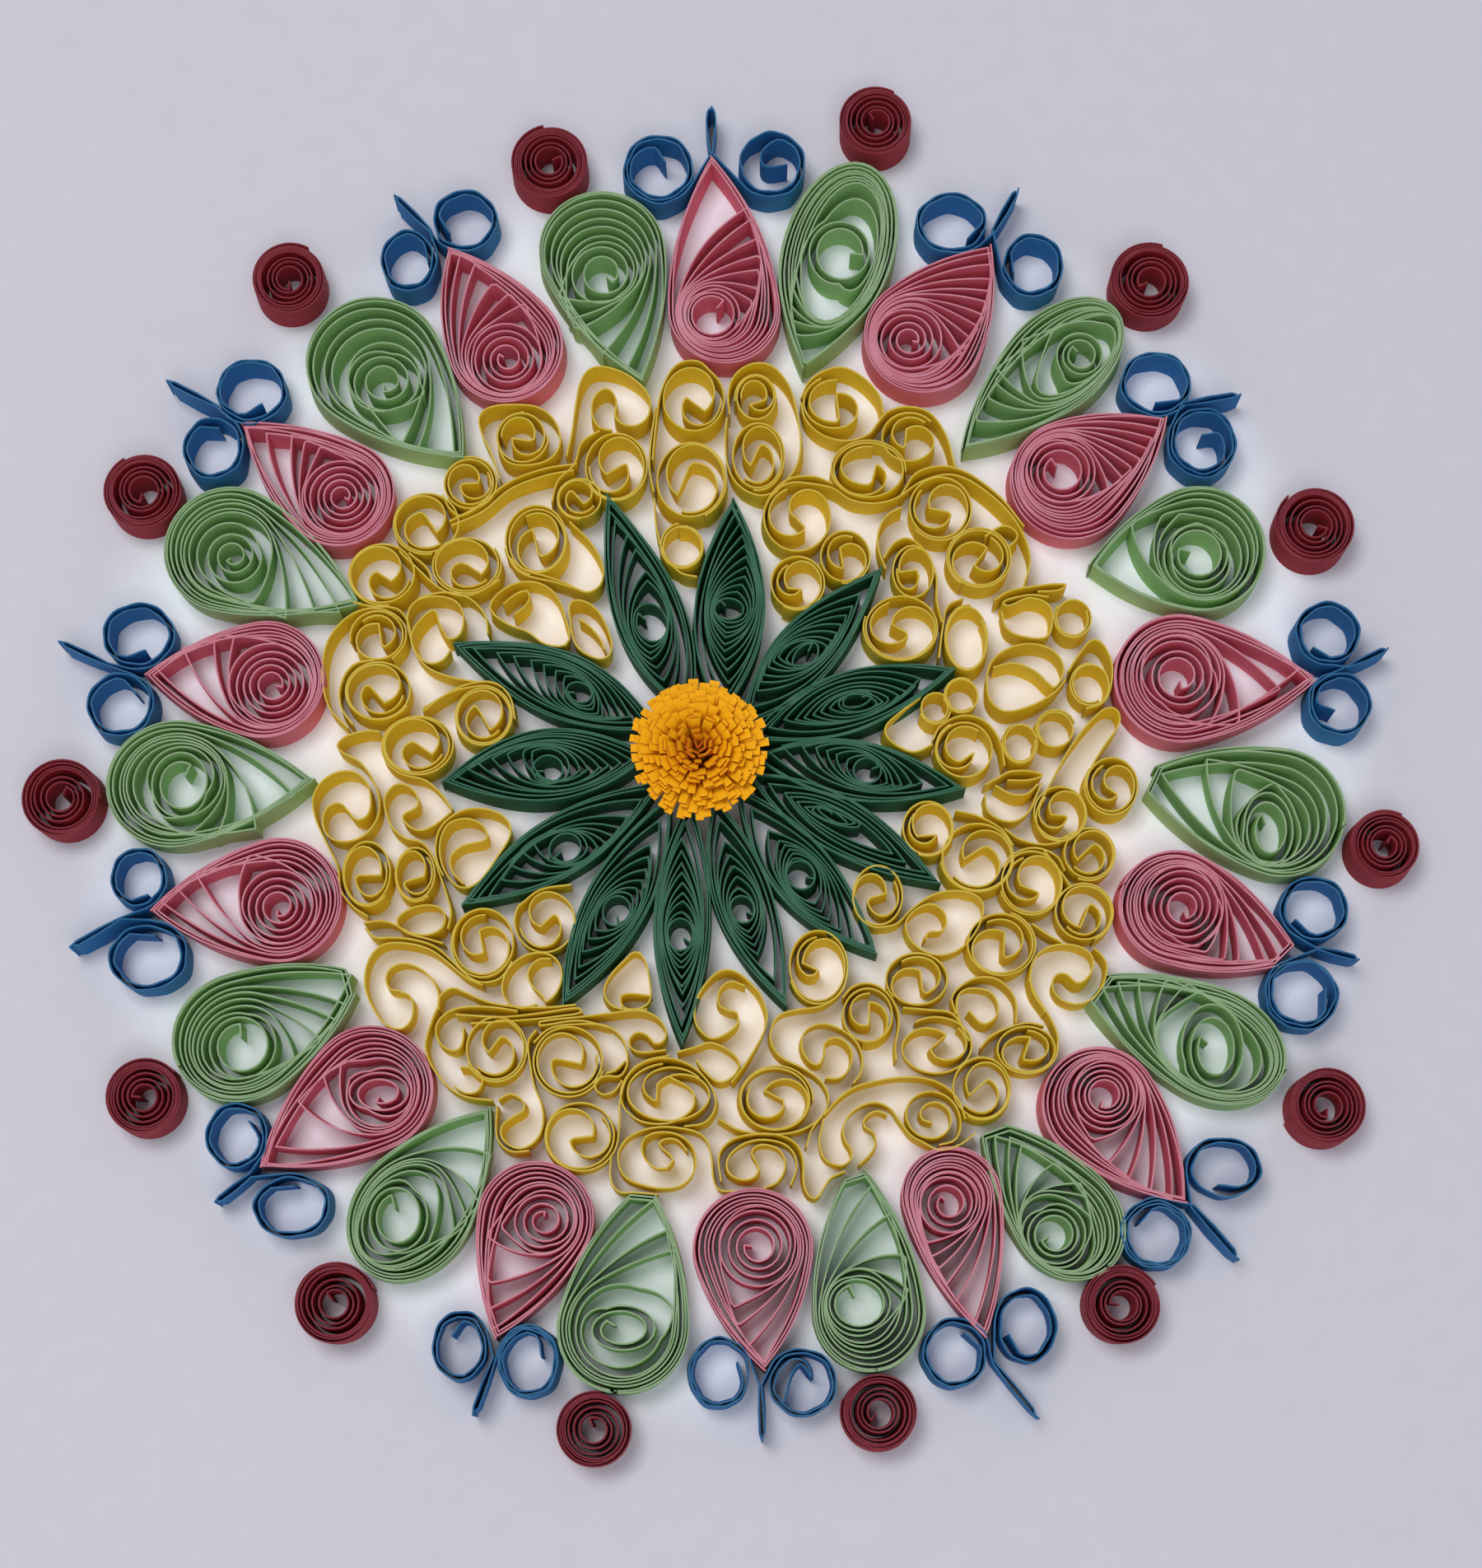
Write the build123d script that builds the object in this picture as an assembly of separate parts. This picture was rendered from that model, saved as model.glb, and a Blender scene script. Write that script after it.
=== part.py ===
"""Quilled paper mandala: strips of coloured paper stood on edge and glued to a square card.

Millimetres. The origin is the middle of the card's underside, +X right and +Y up the picture, +Z out of it.
"""
from build123d import *
import math
import os

os.makedirs("parts", exist_ok=True)

# Card and strips
card_width = 305.0
card_height = 305.0
card_thickness = 0.4
strip_width = 6.35
paper_thickness = 0.3

# Layers of paper that lie together in each kind of wall
teardrop_layers = 3
petal_layers = 3
coil_layers = 3
blue_layers = 3
yellow_layers = 3
tail_layers = 2
inner_turn_layers = 2
leg_layers = 1

# Facets along each kind of curve
teardrop_side_facets = 2
teardrop_round_facets = 5
inner_round_facets = 3
petal_side_facets = 3
petal_turn_facets = 2
coil_facets = 7
blue_facets = 6
yellow_facets = 6

# How far a teardrop's sides bulge, in degrees past the straight tangent, and where its inner turn sits
side_bulge = 17.0
inner_turn_seat = 0.3
inner_turn_depth = 0.5
petal_inner_turn = 0.5
coil_hook = 0.4

# Fringed flower
flower_centre = (-3.7, -0.5)
flower_base_radius = 5.5
flower_radius = 9.3
flower_height = 14.35
flower_clearance = 0.25
flower_tab_depth = 1.3
flower_rim_tabs = 12
flower_crown_tabs = 8
flower_crown_radius = 6.2
flower_heart_radius = 3.0

# Maroon coils as x, y, radius, in groups that neighbour each other
maroon_coils = {
    "top": [(21.0, 91.4, 5.2)],
    "upper_left": [(-24.8, 85.4, 5.5), (-60.9, 68.2, 5.2), (-80.2, 37.6, 5.4)],
    "left": [(-89.7, -5.4, 5.4)],
    "lower_left": [(-77.2, -45.8, 5.2), (-51.3, -72.9, 5.4), (-17.1, -89.2, 5.0)],
    "lower_right": [(20.0, -87.0, 5.1), (52.0, -73.3, 5.1), (79.7, -47.0, 5.2), (88.7, -11.9, 4.9)],
    "upper_right": [(80.7, 32.7, 5.5), (58.9, 67.9, 5.6)],
}

# Teardrops as tip, middle of the round end, its radius along and across, and the eye with its radius
pink_teardrops = [
    ((-2.2, 86.4), (-0.3, 63.6), 7.9, 7.9, (-1.8, 63.2), 2.2),
    ((37.0, 73.0), (27.4, 59.8), 8.4, 8.4, (25.3, 59.3), 2.5),
    ((60.6, 48.2), (47.3, 39.3), 8.6, 8.6, (45.5, 40.0), 3.3),
    ((80.2, 11.0), (61.6, 11.2), 9.1, 9.1, (61.5, 11.8), 2.2),
    ((76.2, -25.7), (60.3, -20.3), 8.0, 8.0, (61.2, -20.6), 2.3),
    ((61.0, -60.0), (49.6, -46.8), 7.7, 7.7, (50.5, -46.2), 2.5),
    ((34.0, -75.8), (29.6, -59.0), 6.4, 6.4, (29.2, -60.0), 2.4),
    ((5.0, -80.4), (3.6, -65.8), 8.1, 8.1, (3.5, -65.5), 2.7),
    ((-30.2, -77.7), (-25.0, -62.0), 7.8, 7.8, (-24.8, -62.8), 2.5),
    ((-61.8, -55.3), (-47.2, -44.7), 8.3, 8.3, (-47.0, -45.8), 2.5),
    ((-77.3, -21.0), (-60.0, -19.4), 8.6, 8.6, (-59.6, -19.9), 2.3),
    ((-79.2, 11.3), (-62.8, 10.9), 8.3, 8.3, (-61.7, 10.4), 2.3),
    ((-66.6, 46.8), (-53.0, 37.5), 7.4, 7.4, (-53.0, 35.8), 2.3),
    ((-39.4, 72.9), (-30.6, 58.4), 8.2, 8.2, (-30.6, 56.5), 2.5),
]
green_teardrops = [
    ((-12.0, 53.2), (-17.4, 72.3), 8.9, 8.9, (-17.5, 68.3), 4.0),
    ((10.6, 55.0), (15.6, 72.5), 13.4, 7.9, (16.5, 72.5), 4.3),
    ((32.3, 44.0), (46.1, 56.4), 11.0, 7.0, (48.5, 56.5), 2.5),
    ((49.5, 26.9), (65.0, 29.3), 9.0, 9.0, (64.3, 28.0), 3.0),
    ((56.2, -4.3), (74.8, -7.4), 9.0, 9.0, (74.5, -10.0), 3.0),
    ((48.0, -32.0), (64.8, -38.8), 10.4, 7.8, (64.8, -40.5), 2.8),
    ((34.8, -50.2), (45.2, -62.0), 7.8, 7.0, (43.5, -63.8), 2.5),
    ((18.2, -55.0), (18.8, -74.0), 8.0, 7.6, (17.0, -72.8), 3.0),
    ((-10.7, -58.0), (-13.6, -76.0), 8.8, 8.8, (-14.0, -76.3), 3.6),
    ((-31.0, -46.8), (-41.4, -60.9), 10.0, 7.7, (-43.5, -62.0), 3.0),
    ((-49.5, -29.3), (-64.5, -37.7), 9.5, 8.8, (-66.3, -38.7), 3.2),
    ((-55.5, -2.8), (-74.5, -3.4), 9.4, 8.7, (-74.0, -2.5), 3.8),
    ((-49.8, 21.2), (-68.3, 29.1), 8.6, 8.6, (-67.5, 29.0), 3.0),
    ((-36.3, 42.3), (-48.8, 56.0), 9.6, 9.6, (-47.5, 54.0), 3.5),
]

# Dark-green petals as outer point, inner point, eye and half width at the eye
petals = [
    ((-16.7, 36.3), (-6.5, 9.5), (-10.0, 18.5), 4.4),
    ((0.3, 36.3), (0.5, 9.0), (0.5, 21.5), 4.7),
    ((21.2, 26.5), (3.5, 7.0), (10.3, 13.8), 4.1),
    ((30.8, 12.3), (5.0, 5.0), (17.5, 8.0), 3.8),
    ((32.5, -4.2), (6.0, 0.0), (18.8, -1.8), 3.8),
    ((29.0, -17.3), (5.0, -3.0), (14.0, -7.7), 3.1),
    ((20.2, -26.5), (3.0, -6.5), (9.7, -16.0), 4.2),
    ((8.0, -33.7), (-0.5, -8.5), (1.9, -20.8), 4.0),
    ((-5.7, -39.3), (-6.2, -8.5), (-6.0, -25.0), 3.8),
    ((-21.7, -33.8), (-8.5, -8.0), (-15.0, -20.3), 4.3),
    ((-35.5, -20.3), (-10.5, -5.0), (-21.5, -12.0), 4.4),
    ((-38.5, -3.5), (-12.0, 1.0), (-25.0, -0.5), 5.0),
    ((-37.3, 15.2), (-11.5, 6.5), (-20.0, 9.0), 4.5),
]

# Blue scrolls as tail tip, place where the legs part, and the two loops as x, y, half width, half height
blue_scrolls = {
    "right": [
        ((70.8, 51.4), (63.0, 50.0), (59.3, 53.6, 5.2, 4.7), (65.6, 44.6, 4.9, 5.3)),
        ((89.9, 15.3), (84.5, 12.8), (82.0, 17.4, 4.7, 4.7), (83.3, 7.6, 4.6, 4.7)),
        ((84.5, -27.3), (79.5, -26.0), (79.2, -20.3, 4.8, 4.6), (76.9, -32.0, 5.2, 5.1)),
    ],
    "bottom": [
        ((67.3, -67.0), (61.5, -60.3), (66.0, -55.2, 5.3, 4.3), (56.8, -63.9, 4.9, 4.8)),
        ((40.7, -87.5), (35.0, -80.5), (29.8, -79.6, 4.4, 4.7), (39.3, -76.0, 4.2, 5.2)),
        ((4.8, -90.5), (4.6, -83.5), (-1.1, -82.2, 4.3, 4.8), (10.0, -83.3, 4.8, 4.6)),
        ((-32.8, -87.2), (-30.3, -80.0), (-34.8, -78.6, 3.9, 4.8), (-25.8, -80.5, 4.3, 5.0)),
    ],
    "left": [
        ((-67.2, -59.7), (-62.8, -56.2), (-65.1, -51.0, 4.2, 4.6), (-57.4, -60.2, 5.5, 4.4)),
        ((-87.5, -25.8), (-81.0, -22.0), (-79.1, -16.2, 4.1, 4.4), (-77.4, -27.0, 5.6, 4.9)),
        ((-90.7, 16.2), (-84.0, 13.2), (-80.2, 17.2, 5.2, 4.7), (-82.3, 7.5, 4.9, 4.8)),
    ],
    "top": [
        ((-77.2, 53.3), (-70.3, 49.6), (-65.8, 52.0, 5.3, 4.9), (-71.1, 43.5, 4.4, 4.8)),
        ((-46.3, 80.3), (-41.3, 75.3), (-36.6, 76.9, 4.9, 4.7), (-44.3, 71.0, 4.1, 4.9)),
        ((-2.2, 93.4), (-2.2, 87.0), (-9.5, 84.4, 5.2, 5.3), (6.2, 85.2, 5.1, 5.2)),
        ((40.6, 81.3), (37.3, 75.3), (31.3, 76.7, 5.3, 4.6), (42.6, 70.3, 4.5, 4.9)),
    ],
}

# Yellow loops as x, y, half width, half height, in the clusters that one long strip makes
yellow_loops = {
    "left": [
        (-48.2, -15.8, 3.3, 4.6), (-51.3, -6.8, 4.3, 4.9), (-41.8, -15.8, 2.8, 3.8), (-43.7, -7.0, 2.5, 3.6),
        (-34.6, -11.5, 4.4, 5.0), (-41.8, 1.8, 5.0, 4.2), (-33.0, 6.0, 4.1, 4.3), (-47.3, 9.4, 4.5, 4.2),
        (-47.4, 17.1, 3.8, 3.7), (-40.0, 18.0, 3.9, 4.8),
    ],
    "upper_left": [
        (-47.0, 25.6, 4.7, 4.3), (-35.5, 27.2, 4.7, 4.1), (-41.2, 33.0, 4.6, 4.4), (-35.2, 38.7, 3.6, 3.7),
        (-28.3, 45.3, 2.3, 2.7), (-25.8, 30.5, 4.4, 5.0),
    ],
    "top": [
        (-15.1, 41.4, 4.4, 4.7), (-4.4, 50.6, 4.1, 4.6), (-4.9, 39.2, 5.0, 5.7), (-6.0, 29.2, 3.4, 3.5),
        (4.4, 42.4, 3.7, 4.9), (4.1, 50.8, 2.9, 3.3), (-20.2, 36.4, 3.3, 2.9),
    ],
    "upper_right": [
        (9.6, 33.8, 4.7, 5.1), (19.5, 40.4, 5.2, 4.3), (14.8, 50.2, 4.4, 3.9), (25.0, 44.5, 4.1, 3.6),
        (29.4, 35.2, 4.3, 4.7), (34.7, 28.0, 4.3, 4.4), (9.6, 24.7, 3.6, 3.7), (16.2, 28.0, 3.3, 3.8),
        (23.8, 18.2, 5.3, 4.7), (25.5, 26.0, 2.9, 3.9), (32.7, 16.4, 3.1, 4.5),
    ],
    "right": [
        (47.4, 19.4, 2.6, 2.9), (49.4, 10.0, 2.7, 2.7), (31.9, 8.6, 2.3, 2.4), (28.4, 7.0, 2.2, 2.3),
        (32.2, 1.4, 3.9, 4.0), (44.4, 4.0, 2.5, 2.5), (39.9, 2.3, 2.5, 3.1), (52.1, -4.0, 3.6, 4.0),
        (45.0, -7.5, 3.6, 3.7), (48.8, -13.0, 3.5, 3.6), (40.9, -17.0, 4.2, 4.5), (48.1, -21.0, 4.0, 4.0),
        (36.7, -25.4, 4.7, 4.3), (44.9, -29.6, 4.4, 4.4), (34.0, -13.5, 4.3, 4.7), (27.2, -9.6, 3.6, 4.0),
    ],
    "lower_right": [
        (21.1, -19.0, 3.0, 3.9), (27.0, -22.6, 2.8, 3.3), (12.3, -28.4, 4.0, 5.0), (25.7, -30.0, 4.3, 3.6),
        (18.9, -35.0, 3.5, 3.7), (13.3, -39.9, 3.6, 3.6), (27.6, -38.6, 4.3, 3.6), (33.4, -33.5, 3.2, 3.1),
        (40.0, -39.4, 4.0, 3.5), (34.0, -44.9, 4.0, 4.3), (27.2, -48.4, 3.5, 3.5), (6.4, -45.8, 5.0, 4.6),
        (4.3, -54.5, 5.3, 3.4),
    ],
    "lower_left": [
        (-7.2, -45.2, 5.8, 4.1), (-19.1, -51.1, 4.6, 4.6), (-9.6, -54.0, 5.6, 4.2), (-21.2, -41.2, 4.5, 4.5),
        (-30.5, -38.8, 4.1, 4.7), (-26.0, -30.4, 3.9, 3.6), (-24.4, -22.6, 3.7, 4.0), (-32.5, -25.2, 4.2, 4.7),
    ],
}

# Yellow loops bent out of round, as corner points
yellow_bends = {
    "left": [[(-43.9, -22.0), (-41.0, -19.6), (-37.3, -22.0), (-41.0, -24.3)]],
    "upper_left": [
        [(-27.0, 40.8), (-31.9, 42.6), (-34.1, 47.8), (-30.5, 50.0), (-24.6, 49.0), (-22.6, 44.5)],
        [(-32.3, 21.0), (-28.5, 25.0), (-23.5, 23.5), (-21.6, 16.2), (-25.0, 16.0)],
    ],
    "top": [[(-13.3, 46.5), (-18.8, 48.5), (-18.8, 53.2), (-15.0, 55.2), (-10.4, 51.5)]],
    "upper_right": [],
    "right": [
        [(35.0, 8.6), (35.6, 13.6), (41.5, 16.4), (46.6, 13.6), (44.6, 8.6), (38.0, 5.8)],
        [(37.2, 21.0), (40.0, 17.0), (44.4, 17.8), (44.6, 22.0), (40.8, 23.2)],
        [(45.2, -2.5), (50.3, 7.0), (53.7, 5.2), (49.4, -1.4)],
        [(34.7, -5.0), (38.3, -1.8), (42.6, -3.5), (41.0, -7.4), (36.5, -8.6)],
    ],
    "lower_right": [[(12.2, -50.5), (13.4, -48.5), (18.0, -46.6), (19.9, -51.2), (17.0, -55.0), (12.9, -54.0)]],
    "lower_left": [
        [(-48.3, -29.0), (-45.5, -24.9), (-38.9, -28.2), (-41.8, -35.6), (-45.3, -36.4)],
        [(-38.4, -33.0), (-35.4, -31.6), (-35.2, -38.9), (-38.6, -38.8)],
        [(-30.2, -46.3), (-26.4, -46.0), (-24.2, -50.0), (-27.0, -52.8), (-30.0, -50.5)],
        [(-12.0, -25.6), (-16.4, -30.5), (-14.6, -34.4), (-9.6, -33.8)],
        [(-4.2, -35.0), (-0.4, -28.9), (5.2, -34.6), (0.5, -40.6)],
    ],
}


def point_on_quadratic(start, handle, end, t):
    x = (1 - t) ** 2 * start[0] + 2 * t * (1 - t) * handle[0] + t * t * end[0]
    y = (1 - t) ** 2 * start[1] + 2 * t * (1 - t) * handle[1] + t * t * end[1]
    return x, y


def between(start, end, share):
    return start[0] + (end[0] - start[0]) * share, start[1] + (end[1] - start[1]) * share


def teardrop_outline(tip, centre, along, across, round_facets, side_facets):
    """Counter-clockwise corners of a teardrop: the tip, one side, the round end and the other side."""
    axis = math.atan2(tip[1] - centre[1], tip[0] - centre[0])
    reach = math.dist(tip, centre) / along
    spread = math.acos(1 / reach) + math.radians(side_bulge)

    def place(x, y):
        x, y = x * along, y * across
        return centre[0] + x * math.cos(axis) - y * math.sin(axis), centre[1] + x * math.sin(axis) + y * math.cos(axis)

    def side(angle):
        end = (math.cos(angle), math.sin(angle))
        pull = math.dist((reach, 0), end) / 2
        turn = math.copysign(pull, angle)
        handle = (end[0] + turn * math.sin(angle), end[1] - turn * math.cos(angle))
        return [point_on_quadratic((reach, 0), handle, end, k / side_facets) for k in range(side_facets)]

    step = (2 * math.pi - 2 * spread) / round_facets
    around = [(math.cos(spread + step * k), math.sin(spread + step * k)) for k in range(round_facets + 1)]
    corners = side(spread) + around + side(-spread)[:0:-1]
    return [place(x, y) for x, y in corners]


def ellipse_outline(x, y, half_width, half_height, facets, start=0.0):
    """Corners of a loop seen from above, counter-clockwise."""
    angles = [math.radians(start) + 2 * math.pi * k / facets for k in range(facets)]
    return [(x + half_width * math.cos(a), y + half_height * math.sin(a)) for a in angles]


def lens_outline(outer, inner, eye, half_width, facets):
    """Corners of a petal: two pointed ends and two sides that are widest beside the eye."""
    length = math.dist(outer, inner)
    across = ((outer[1] - inner[1]) / length, (inner[0] - outer[0]) / length)

    def side(start, end, direction):
        reach = direction * half_width * 4 / 3
        bulge = (eye[0] + across[0] * reach, eye[1] + across[1] * reach)
        first = (bulge[0] + (start[0] - eye[0]) * 0.25, bulge[1] + (start[1] - eye[1]) * 0.25)
        second = (bulge[0] + (end[0] - eye[0]) * 0.25, bulge[1] + (end[1] - eye[1]) * 0.25)
        points = []
        for k in range(facets):
            t = k / facets
            weights = ((1 - t) ** 3, 3 * t * (1 - t) ** 2, 3 * t * t * (1 - t), t ** 3)
            ends = (start, first, second, end)
            points.append(tuple(sum(w * p[axis] for w, p in zip(weights, ends)) for axis in (0, 1)))
        return points

    return side(inner, outer, 1) + side(outer, inner, -1)


def inset(corners, depth):
    """The same outline moved inward by the wall, with mitred corners. Corners run counter-clockwise."""
    moved = []
    for k, corner in enumerate(corners):
        before = corners[k - 1]
        after = corners[(k + 1) % len(corners)]
        a = Vector(corner[0] - before[0], corner[1] - before[1]).normalized()
        b = Vector(after[0] - corner[0], after[1] - corner[1]).normalized()
        normal = Vector(-a.Y - b.Y, a.X + b.X).normalized()
        slope = max(normal.dot(Vector(-a.Y, a.X)), 0.2)
        moved.append((corner[0] + normal.X * depth / slope, corner[1] + normal.Y * depth / slope))
    return moved


def polygon(corners):
    return make_face(Polyline(*corners, close=True))


def ring(corners, layers):
    """A closed turn of paper, its outer face on the corners."""
    return polygon(corners) - polygon(inset(corners, layers * paper_thickness))


def bar(start, end, layers):
    """A straight strip seen from above."""
    along = (Vector(*end) - Vector(*start)).normalized()
    side = Vector(-along.Y, along.X) * (layers * paper_thickness / 2)
    a, b = Vector(*start), Vector(*end)
    return polygon([(p.X, p.Y) for p in (a - side, b - side, b + side, a + side)])


def stand(shapes):
    """Stands the joined strips on the card."""
    flat = shapes[0]
    for shape in shapes[1:]:
        flat = flat + shape
    return Pos(0, 0, card_thickness) * extrude(flat, amount=strip_width, dir=(0, 0, 1))


def backing_card():
    return Box(card_width, card_height, card_thickness, align=(Align.CENTER, Align.CENTER, Align.MIN))


def teardrop(tip, centre, along, across, eye, eye_radius):
    outline = teardrop_outline(tip, centre, along, across, teardrop_round_facets, teardrop_side_facets)
    wall = teardrop_layers * paper_thickness
    seat = between(inset(outline, wall / 2)[0], inset(outline, wall / 2)[-1], inner_turn_seat * 2)
    middle = between(centre, eye, inner_turn_depth)
    radius = along + (eye_radius - along) * inner_turn_depth
    inner = teardrop_outline(seat, middle, radius, radius * across / along, inner_round_facets, 1)
    return stand([ring(outline, teardrop_layers), ring(inner, inner_turn_layers)])


def petal(outer, inner, eye, half_width):
    wall = petal_layers * paper_thickness
    outline = lens_outline(outer, inner, eye, half_width, petal_side_facets)
    ends = [between(end, eye, petal_inner_turn) for end in (outer, inner)]
    turn = lens_outline(*ends, eye, half_width - wall / 2, petal_turn_facets)
    return stand([ring(outline, petal_layers), ring(turn, inner_turn_layers)])


def maroon_coil(x, y, radius):
    outer = ellipse_outline(x, y, radius, radius, coil_facets)
    wall = coil_layers * paper_thickness
    start = (x + radius - wall / 2, y)
    return stand([ring(outer, coil_layers), bar(start, (x, y - radius * coil_hook), inner_turn_layers)])


def blue_scroll(tail, parting, left, right):
    shapes = [bar(tail, parting, tail_layers)]
    for x, y, half_width, half_height in (left, right):
        facing = math.degrees(math.atan2(parting[1] - y, parting[0] - x))
        outline = ellipse_outline(x, y, half_width, half_height, blue_facets, facing)
        shapes.append(ring(outline, blue_layers))
        shapes.append(bar(parting, between(outline[0], (x, y), 0.1), leg_layers))
    return stand(shapes)


def yellow_cluster(name):
    shapes = [ring(ellipse_outline(*loop, yellow_facets), yellow_layers) for loop in yellow_loops[name]]
    shapes += [ring(corners[::-1], yellow_layers) for corners in yellow_bends[name]]
    return stand(shapes)


def notched_disc(radius, tabs):
    """Fringe seen from above: square-ended tabs with a cut between each two."""
    x, y = flower_centre
    corners = []
    for k in range(tabs):
        for share, reach in ((0.0, radius), (0.72, radius), (0.76, radius - flower_tab_depth), (0.96, radius - flower_tab_depth)):
            angle = 2 * math.pi * (k + share) / tabs
            corners.append((x + reach * math.cos(angle), y + reach * math.sin(angle)))
    return polygon(corners)


def fringed_flower():
    x, y = flower_centre
    head = card_thickness + strip_width + flower_clearance
    rise = card_thickness + flower_height - head
    base = polygon(ellipse_outline(x, y, flower_base_radius, flower_base_radius, 12))
    rim = notched_disc(flower_radius, flower_rim_tabs)
    crown = notched_disc(flower_crown_radius, flower_crown_tabs)
    heart = polygon(ellipse_outline(x, y, flower_heart_radius, flower_heart_radius, 8))
    flower = Pos(0, 0, card_thickness) * extrude(base, amount=head - card_thickness, dir=(0, 0, 1))
    flower += Pos(0, 0, head) * extrude(rim, amount=rise * 0.6, dir=(0, 0, 1))
    flower += Pos(0, 0, head + rise * 0.6) * extrude(crown, amount=rise * 0.25, dir=(0, 0, 1))
    flower += Pos(0, 0, head + rise * 0.85) * extrude(heart, amount=rise * 0.15, dir=(0, 0, 1))
    return flower


def save(name, shape):
    shape.label = name
    export_step(shape, f"parts/{name}.step")


save("backing_card", backing_card())
save("fringed_flower", fringed_flower())
for number, sizes in enumerate(petals, 1):
    save(f"dark_green_petal_{number:02d}", petal(*sizes))
for number, sizes in enumerate(pink_teardrops, 1):
    save(f"pink_teardrop_{number:02d}", teardrop(*sizes))
for number, sizes in enumerate(green_teardrops, 1):
    save(f"light_green_teardrop_{number:02d}", teardrop(*sizes))
for place, coils in maroon_coils.items():
    save(f"maroon_coils_{place}", Compound([maroon_coil(*coil) for coil in coils]))
for place, scrolls in blue_scrolls.items():
    save(f"blue_scrolls_{place}", Compound([blue_scroll(*scroll) for scroll in scrolls]))
for place in yellow_loops:
    save(f"yellow_scrolls_{place}", yellow_cluster(place))
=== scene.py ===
"""Quilled paper mandala: strips of coloured paper, rolled and folded, stood on edge on a pale card.

Lengths are in millimetres, in the same frame as the part, and become metres where a mesh is made. Places
are x to the right and y up the picture, from the middle of the card. The lists of places follow the
photograph.
"""
import math
import random
import bpy
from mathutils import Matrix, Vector, noise

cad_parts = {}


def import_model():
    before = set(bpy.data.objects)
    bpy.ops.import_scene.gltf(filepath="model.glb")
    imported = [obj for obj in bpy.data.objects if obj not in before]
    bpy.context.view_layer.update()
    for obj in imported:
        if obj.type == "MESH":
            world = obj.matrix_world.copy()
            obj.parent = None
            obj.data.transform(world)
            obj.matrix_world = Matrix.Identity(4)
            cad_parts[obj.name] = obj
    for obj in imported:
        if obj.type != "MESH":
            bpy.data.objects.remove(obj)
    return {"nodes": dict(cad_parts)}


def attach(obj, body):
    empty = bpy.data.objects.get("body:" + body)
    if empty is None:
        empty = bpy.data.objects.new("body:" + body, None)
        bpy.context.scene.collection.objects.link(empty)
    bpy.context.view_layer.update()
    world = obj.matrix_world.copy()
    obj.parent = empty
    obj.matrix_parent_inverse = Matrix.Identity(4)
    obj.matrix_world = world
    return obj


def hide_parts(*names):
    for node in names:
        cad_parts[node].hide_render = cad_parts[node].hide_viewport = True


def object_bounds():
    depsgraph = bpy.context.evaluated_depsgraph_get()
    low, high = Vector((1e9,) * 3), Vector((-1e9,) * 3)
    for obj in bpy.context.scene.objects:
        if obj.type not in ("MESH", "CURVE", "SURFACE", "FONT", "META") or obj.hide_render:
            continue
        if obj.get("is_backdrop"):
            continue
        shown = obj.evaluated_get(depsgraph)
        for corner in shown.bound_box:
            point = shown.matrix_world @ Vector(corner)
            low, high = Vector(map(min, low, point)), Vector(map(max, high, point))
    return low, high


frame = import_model()
cad_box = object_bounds()

MM = 0.001

# Card and strips, and how far apart the turns of a tight roll lie
CARD_TOP = 0.4
STRIP_WIDTH = 6.35
STRIP_TOP = CARD_TOP + STRIP_WIDTH
PAPER = 0.22
TURN = PAPER * 1.25
COIL_TURN = PAPER * 1.35

# The upper edge's rise and fall and the walls' lean, how quickly they change along a strip, and where
# each strip reads its noise
EDGE_WAVE = 0.12
WAVE_DROP = 0.6
WAVE_PITCH = 0.11
WAVE_SEED = 7.3
LEAN = 0.14
LEAN_PITCH = 0.07
LEAN_SEED = 3.1
LEAN_LAYER = 5.0
TEARDROP_SEED = 11
PETAL_SEED = 17
BLUE_SEED = 5
YELLOW_SEED = 3
FLOWER_SEED = 99

# Points along a strip: steps between chosen places, least distances, the bend in degrees that counts as a
# fold, and the sharpest folds at which the strip still has its full thickness
STRIP_STEPS = 7
LINK_STEPS = 8
POINT_GAP = 0.5
FOLD_GAP = 0.05
CLOSED_GAP = 0.01
FOLD_BEND = 24
SHARP_FOLD = 38
SHARPEST_TURN = 0.05
LEAST_SLOPE = 0.42

# The photograph's camera, above the strips' tops
CAMERA_PLACE = (2.0, -97.7, STRIP_TOP + 462.7)
CAMERA_TILT = 11.5
FOCAL_PIXELS = 4250
PHOTO_HEIGHT = 1904
SENSOR = 36.0

# Lamps as place in metres, size and power, their colour, and the pale room round them
LAMPS = {"window": ((-0.27, 0.2, 1.2), 0.45, 7.4), "front": ((0.08, -0.5, 1.1), 0.6, 3.6)}
LAMP_COLOUR = (1.0, 0.985, 0.97)
ROOM_COLOUR = (0.91, 0.96, 1.06, 1)
ROOM_STRENGTH = 0.34
FLOOR_REACH = 1200

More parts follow.
